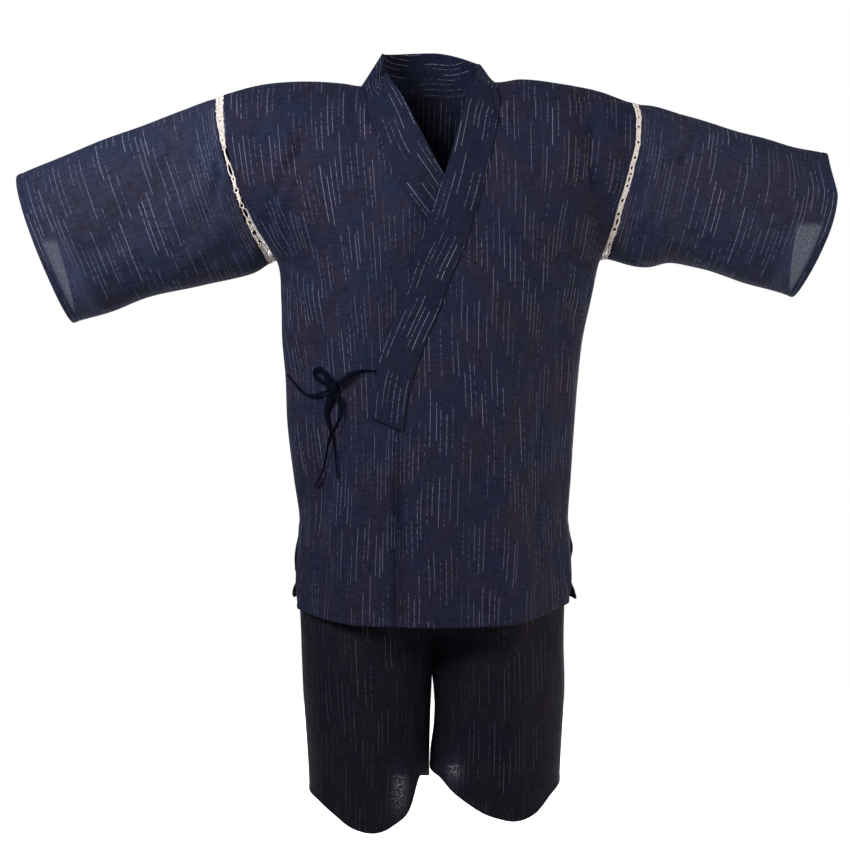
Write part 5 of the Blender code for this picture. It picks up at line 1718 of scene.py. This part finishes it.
def shorts_points(side, face, down, across):
    """Points of a panel: down 0 at the waist to 1 at the hem, across 0 inside to 1 at the side."""
    down, across = np.broadcast_arrays(down, across)
    hem = read(SHORTS_HEM[face], across, COLUMN[side])
    z = mix(WAIST, hem, down)
    way = -1 if face == "front" else 1
    fork = smooth((CROTCH + FORK_WAY - z) / FORK_WAY)
    angle = math.pi / 2 * across
    hip_x = side * read(HIP_LINE, z, 1) * np.sin(angle)
    hip_y = way * read(HIP_LINE, z, 2 if face == "front" else 3) * np.cos(angle)
    outer = read(LEG_SIDE, z, COLUMN[side])
    gap = read(INSEAM, z, COLUMN[side])
    turn = math.pi * (1 - across)
    half = (outer - gap) / 2
    deep = LEG_DEPTH[face] * (1 + LEG_EGG * np.cos(turn))
    squared = np.sign(np.cos(turn)) * np.abs(np.cos(turn)) ** LEG_SQUARE
    x = mix(hip_x, side * (gap + half + half * squared), fork)
    y = mix(hip_y, way * deep * np.sin(turn), fork)
    calm = smooth(np.abs(y) / FOLDS_CALM) * smooth(across / 0.04) * smooth((1 - across) / 0.05)
    height = crease_height(SHORTS_CREASES[face], x, z) + unrest(x, z, 41 + (face == "back"))
    if face == "front":
        height += fold_height(SHORTS_FOLDS, x, z)
    y += way * height * calm
    y = np.where((across >= 1) | ((across <= 0) & (fork >= 1)), 0.0, y)
    relief = hem_relief((1 - down) * (WAIST - hem))
    for share in (across, 1 - across):
        relief -= SEAM_DIP * bell(share * PANEL_WIDE / 0.003)
    away = unit(stacked(x - side * LEG_MIDDLE * fork, y, 0.0))
    away[..., 0] *= smooth(across / 0.03)
    return np.stack((x, y, z), axis=-1) + away * relief[..., None]


# %% Four panels
THIGHS = -0.75            # m, height of the shorts' middle
PLUMB = 0.09              # the dashes hang plumb this far from the middle
SHEER_AT = {
    # place x, height z and reach both ways of a sheer patch by the fork
    RIGHT: (-0.043, -0.945, 0.012, 0.034),
    LEFT: (0.029, -0.919, 0.012, 0.019),
}
down, across = shares_of(PANEL_LONG, 124)[:, None], shares_of(PANEL_WIDE, 60, both=True)[None, :]
for side, side_name in SIDES.items():
    for face in ("front", "back"):
        node_name = f"shorts_{side_name}_{face}"
        points = shorts_points(side, face, down, across)
        wide = gaps_along(points, 1)
        plumb = [np.interp(PLUMB, side * row, arc) for row, arc in zip(points[..., 0], wide)]
        wide = (wide - np.array(plumb)[:, None]) * side + 0.9 + 0.1 * side
        drop = points[..., 2] * (1 if face == "front" else -1)
        thin_x, thin_z, reach_x, reach_z = SHEER_AT[side]
        sheer = bell((points[..., 0] - thin_x) / reach_x)
        sheer *= bell((points[..., 2] - thin_z) / reach_z)
        middle = np.array((side * LEG_MIDDLE, 0, THIGHS))
        mesh = grid_mesh(node_name, points, stacked(wide, drop), outward=middle, sheer=sheer)
        panel = dress("cotton_" + node_name, mesh, SHORTS_CREPE,
                      (node_name,), CLOTH)
        sew(node_name, "shorts_crepe", points, outward_of(points, middle), SEWN_BACK)
        tell(panel)

# %% [markdown]
# The casing is the shorts' top edge, turned over elastic, which gathers it in small even pleats.
# %% Waist casing
GATHERS = 84
CASING_RADIUS = 0.13
turn = np.linspace(0.0, 2 * math.pi, GATHERS * 6 + 1)[None, :]
level = np.linspace(0.0, 1.0, 15)[:, None]
deep = np.where(np.cos(turn) > 0, HIP_LINE[0][2], HIP_LINE[0][3])
pleat = 0.0011 * np.sin(GATHERS * turn + 0.8 * np.sin(7 * turn)) * np.sin(math.pi * level) ** 0.5
puffed = 0.0010 * np.sin(math.pi * level)
out = 1.0 + (pleat + puffed) / 0.11
ring = stacked(HIP_LINE[0][1] * np.sin(turn) * out, -deep * np.cos(turn) * out,
               WAIST + BAND_HEIGHT * level)
ring[:, -1] = ring[:, 0]
flat = stacked(turn * CASING_RADIUS, level * BAND_HEIGHT)
mesh = grid_mesh("waistband", ring, flat, wrap=True, outward=(0, 0, WAIST + 0.017))
casing = dress("gathered_waist_casing", mesh, SHORTS_CREPE, ("waistband",), 0.0018)
print("casing with", GATHERS, "gathers")

# %% [markdown]
# ## Floor and light
#
# A catalogue picture has a white room. A key lamp and a side lamp to the left shape the folds. A
# broad, warm fill lamp lights the rest from the right, where a small rim lamp grazes the sides.
# The back lamp shines through the sheer cloth, and the floor lamp keeps the floor white behind
# the set. The floor lies where the wearer's feet would stand.
# %% Floor, room and lamps
FLOOR = -1.42
work = bmesh.new()
bmesh.ops.create_circle(work, cap_ends=True, segments=96, radius=3.2)
bmesh.ops.translate(work, vec=(0, 0, FLOOR), verts=work.verts)
mesh = bpy.data.meshes.new("studio_floor")
work.to_mesh(mesh)
work.free()
floor = bpy.data.objects.new("studio_floor", mesh)
bpy.context.scene.collection.objects.link(floor)
made, node, surface = new_material("matt_white_floor")
surface({"Base Color": colour_of("#f8f8f8"), "Roughness": 0.9})
floor.data.materials.append(made)

world = bpy.data.worlds.new("white_room")
world.use_nodes = True
bpy.context.scene.world = world
tree = world.node_tree
seen = add_node(tree, "LightPath").outputs["Is Camera Ray"]
strength = add_node(tree, "MapRange", {"Value": seen, "To Min": 0.10, "To Max": 1.0})
set_inputs(tree, tree.nodes["Background"], {"Color": colour_of("#ffffff"), "Strength": strength})

LAMPS = (
    # name         place              aimed at            size watts spread colour
    ("key_lamp", (-1.25, -1.6, 0.85), (-0.20, 0.0, 0.0), 0.9, 5.6, 60, "#ffffff"),
    ("side_lamp", (-1.7, -1.1, 0.7), (-0.30, 0.0, 0.0), 0.9, 5.7, 90, "#ffffff"),
    ("fill_lamp", (2.0, -2.1, 0.3), (0.15, 0.0, -0.20), 1.5, 29, 180, "#fff3e9"),
    ("rim_lamp", (2.2, -0.15, -0.4), (0.18, 0.0, -0.40), 0.9, 3.2, 60, "#fff0e0"),
    ("back_lamp", (0.5, 2.4, 0.0), (0.0, 0.0, -0.40), 1.4, 16, 70, "#ffffff"),
    ("floor_lamp", (0.0, 2.6, 0.9), (0.0, 2.6, FLOOR), 3.4, 75, 80, "#ffffff"),
)
for name, place, aim, size, watts, spread, colour in LAMPS:
    light = bpy.data.lights.new(name, "AREA")
    light.size = size
    light.energy = watts
    light.color = colour_of(colour)[:3]
    light.spread = math.radians(spread)
    lamp = bpy.data.objects.new(name, light)
    lamp.location = place
    lamp.rotation_euler = (Vector(aim) - Vector(place)).to_track_quat("-Z", "Y").to_euler()
    bpy.context.scene.collection.objects.link(lamp)
print(len(LAMPS), "lamps")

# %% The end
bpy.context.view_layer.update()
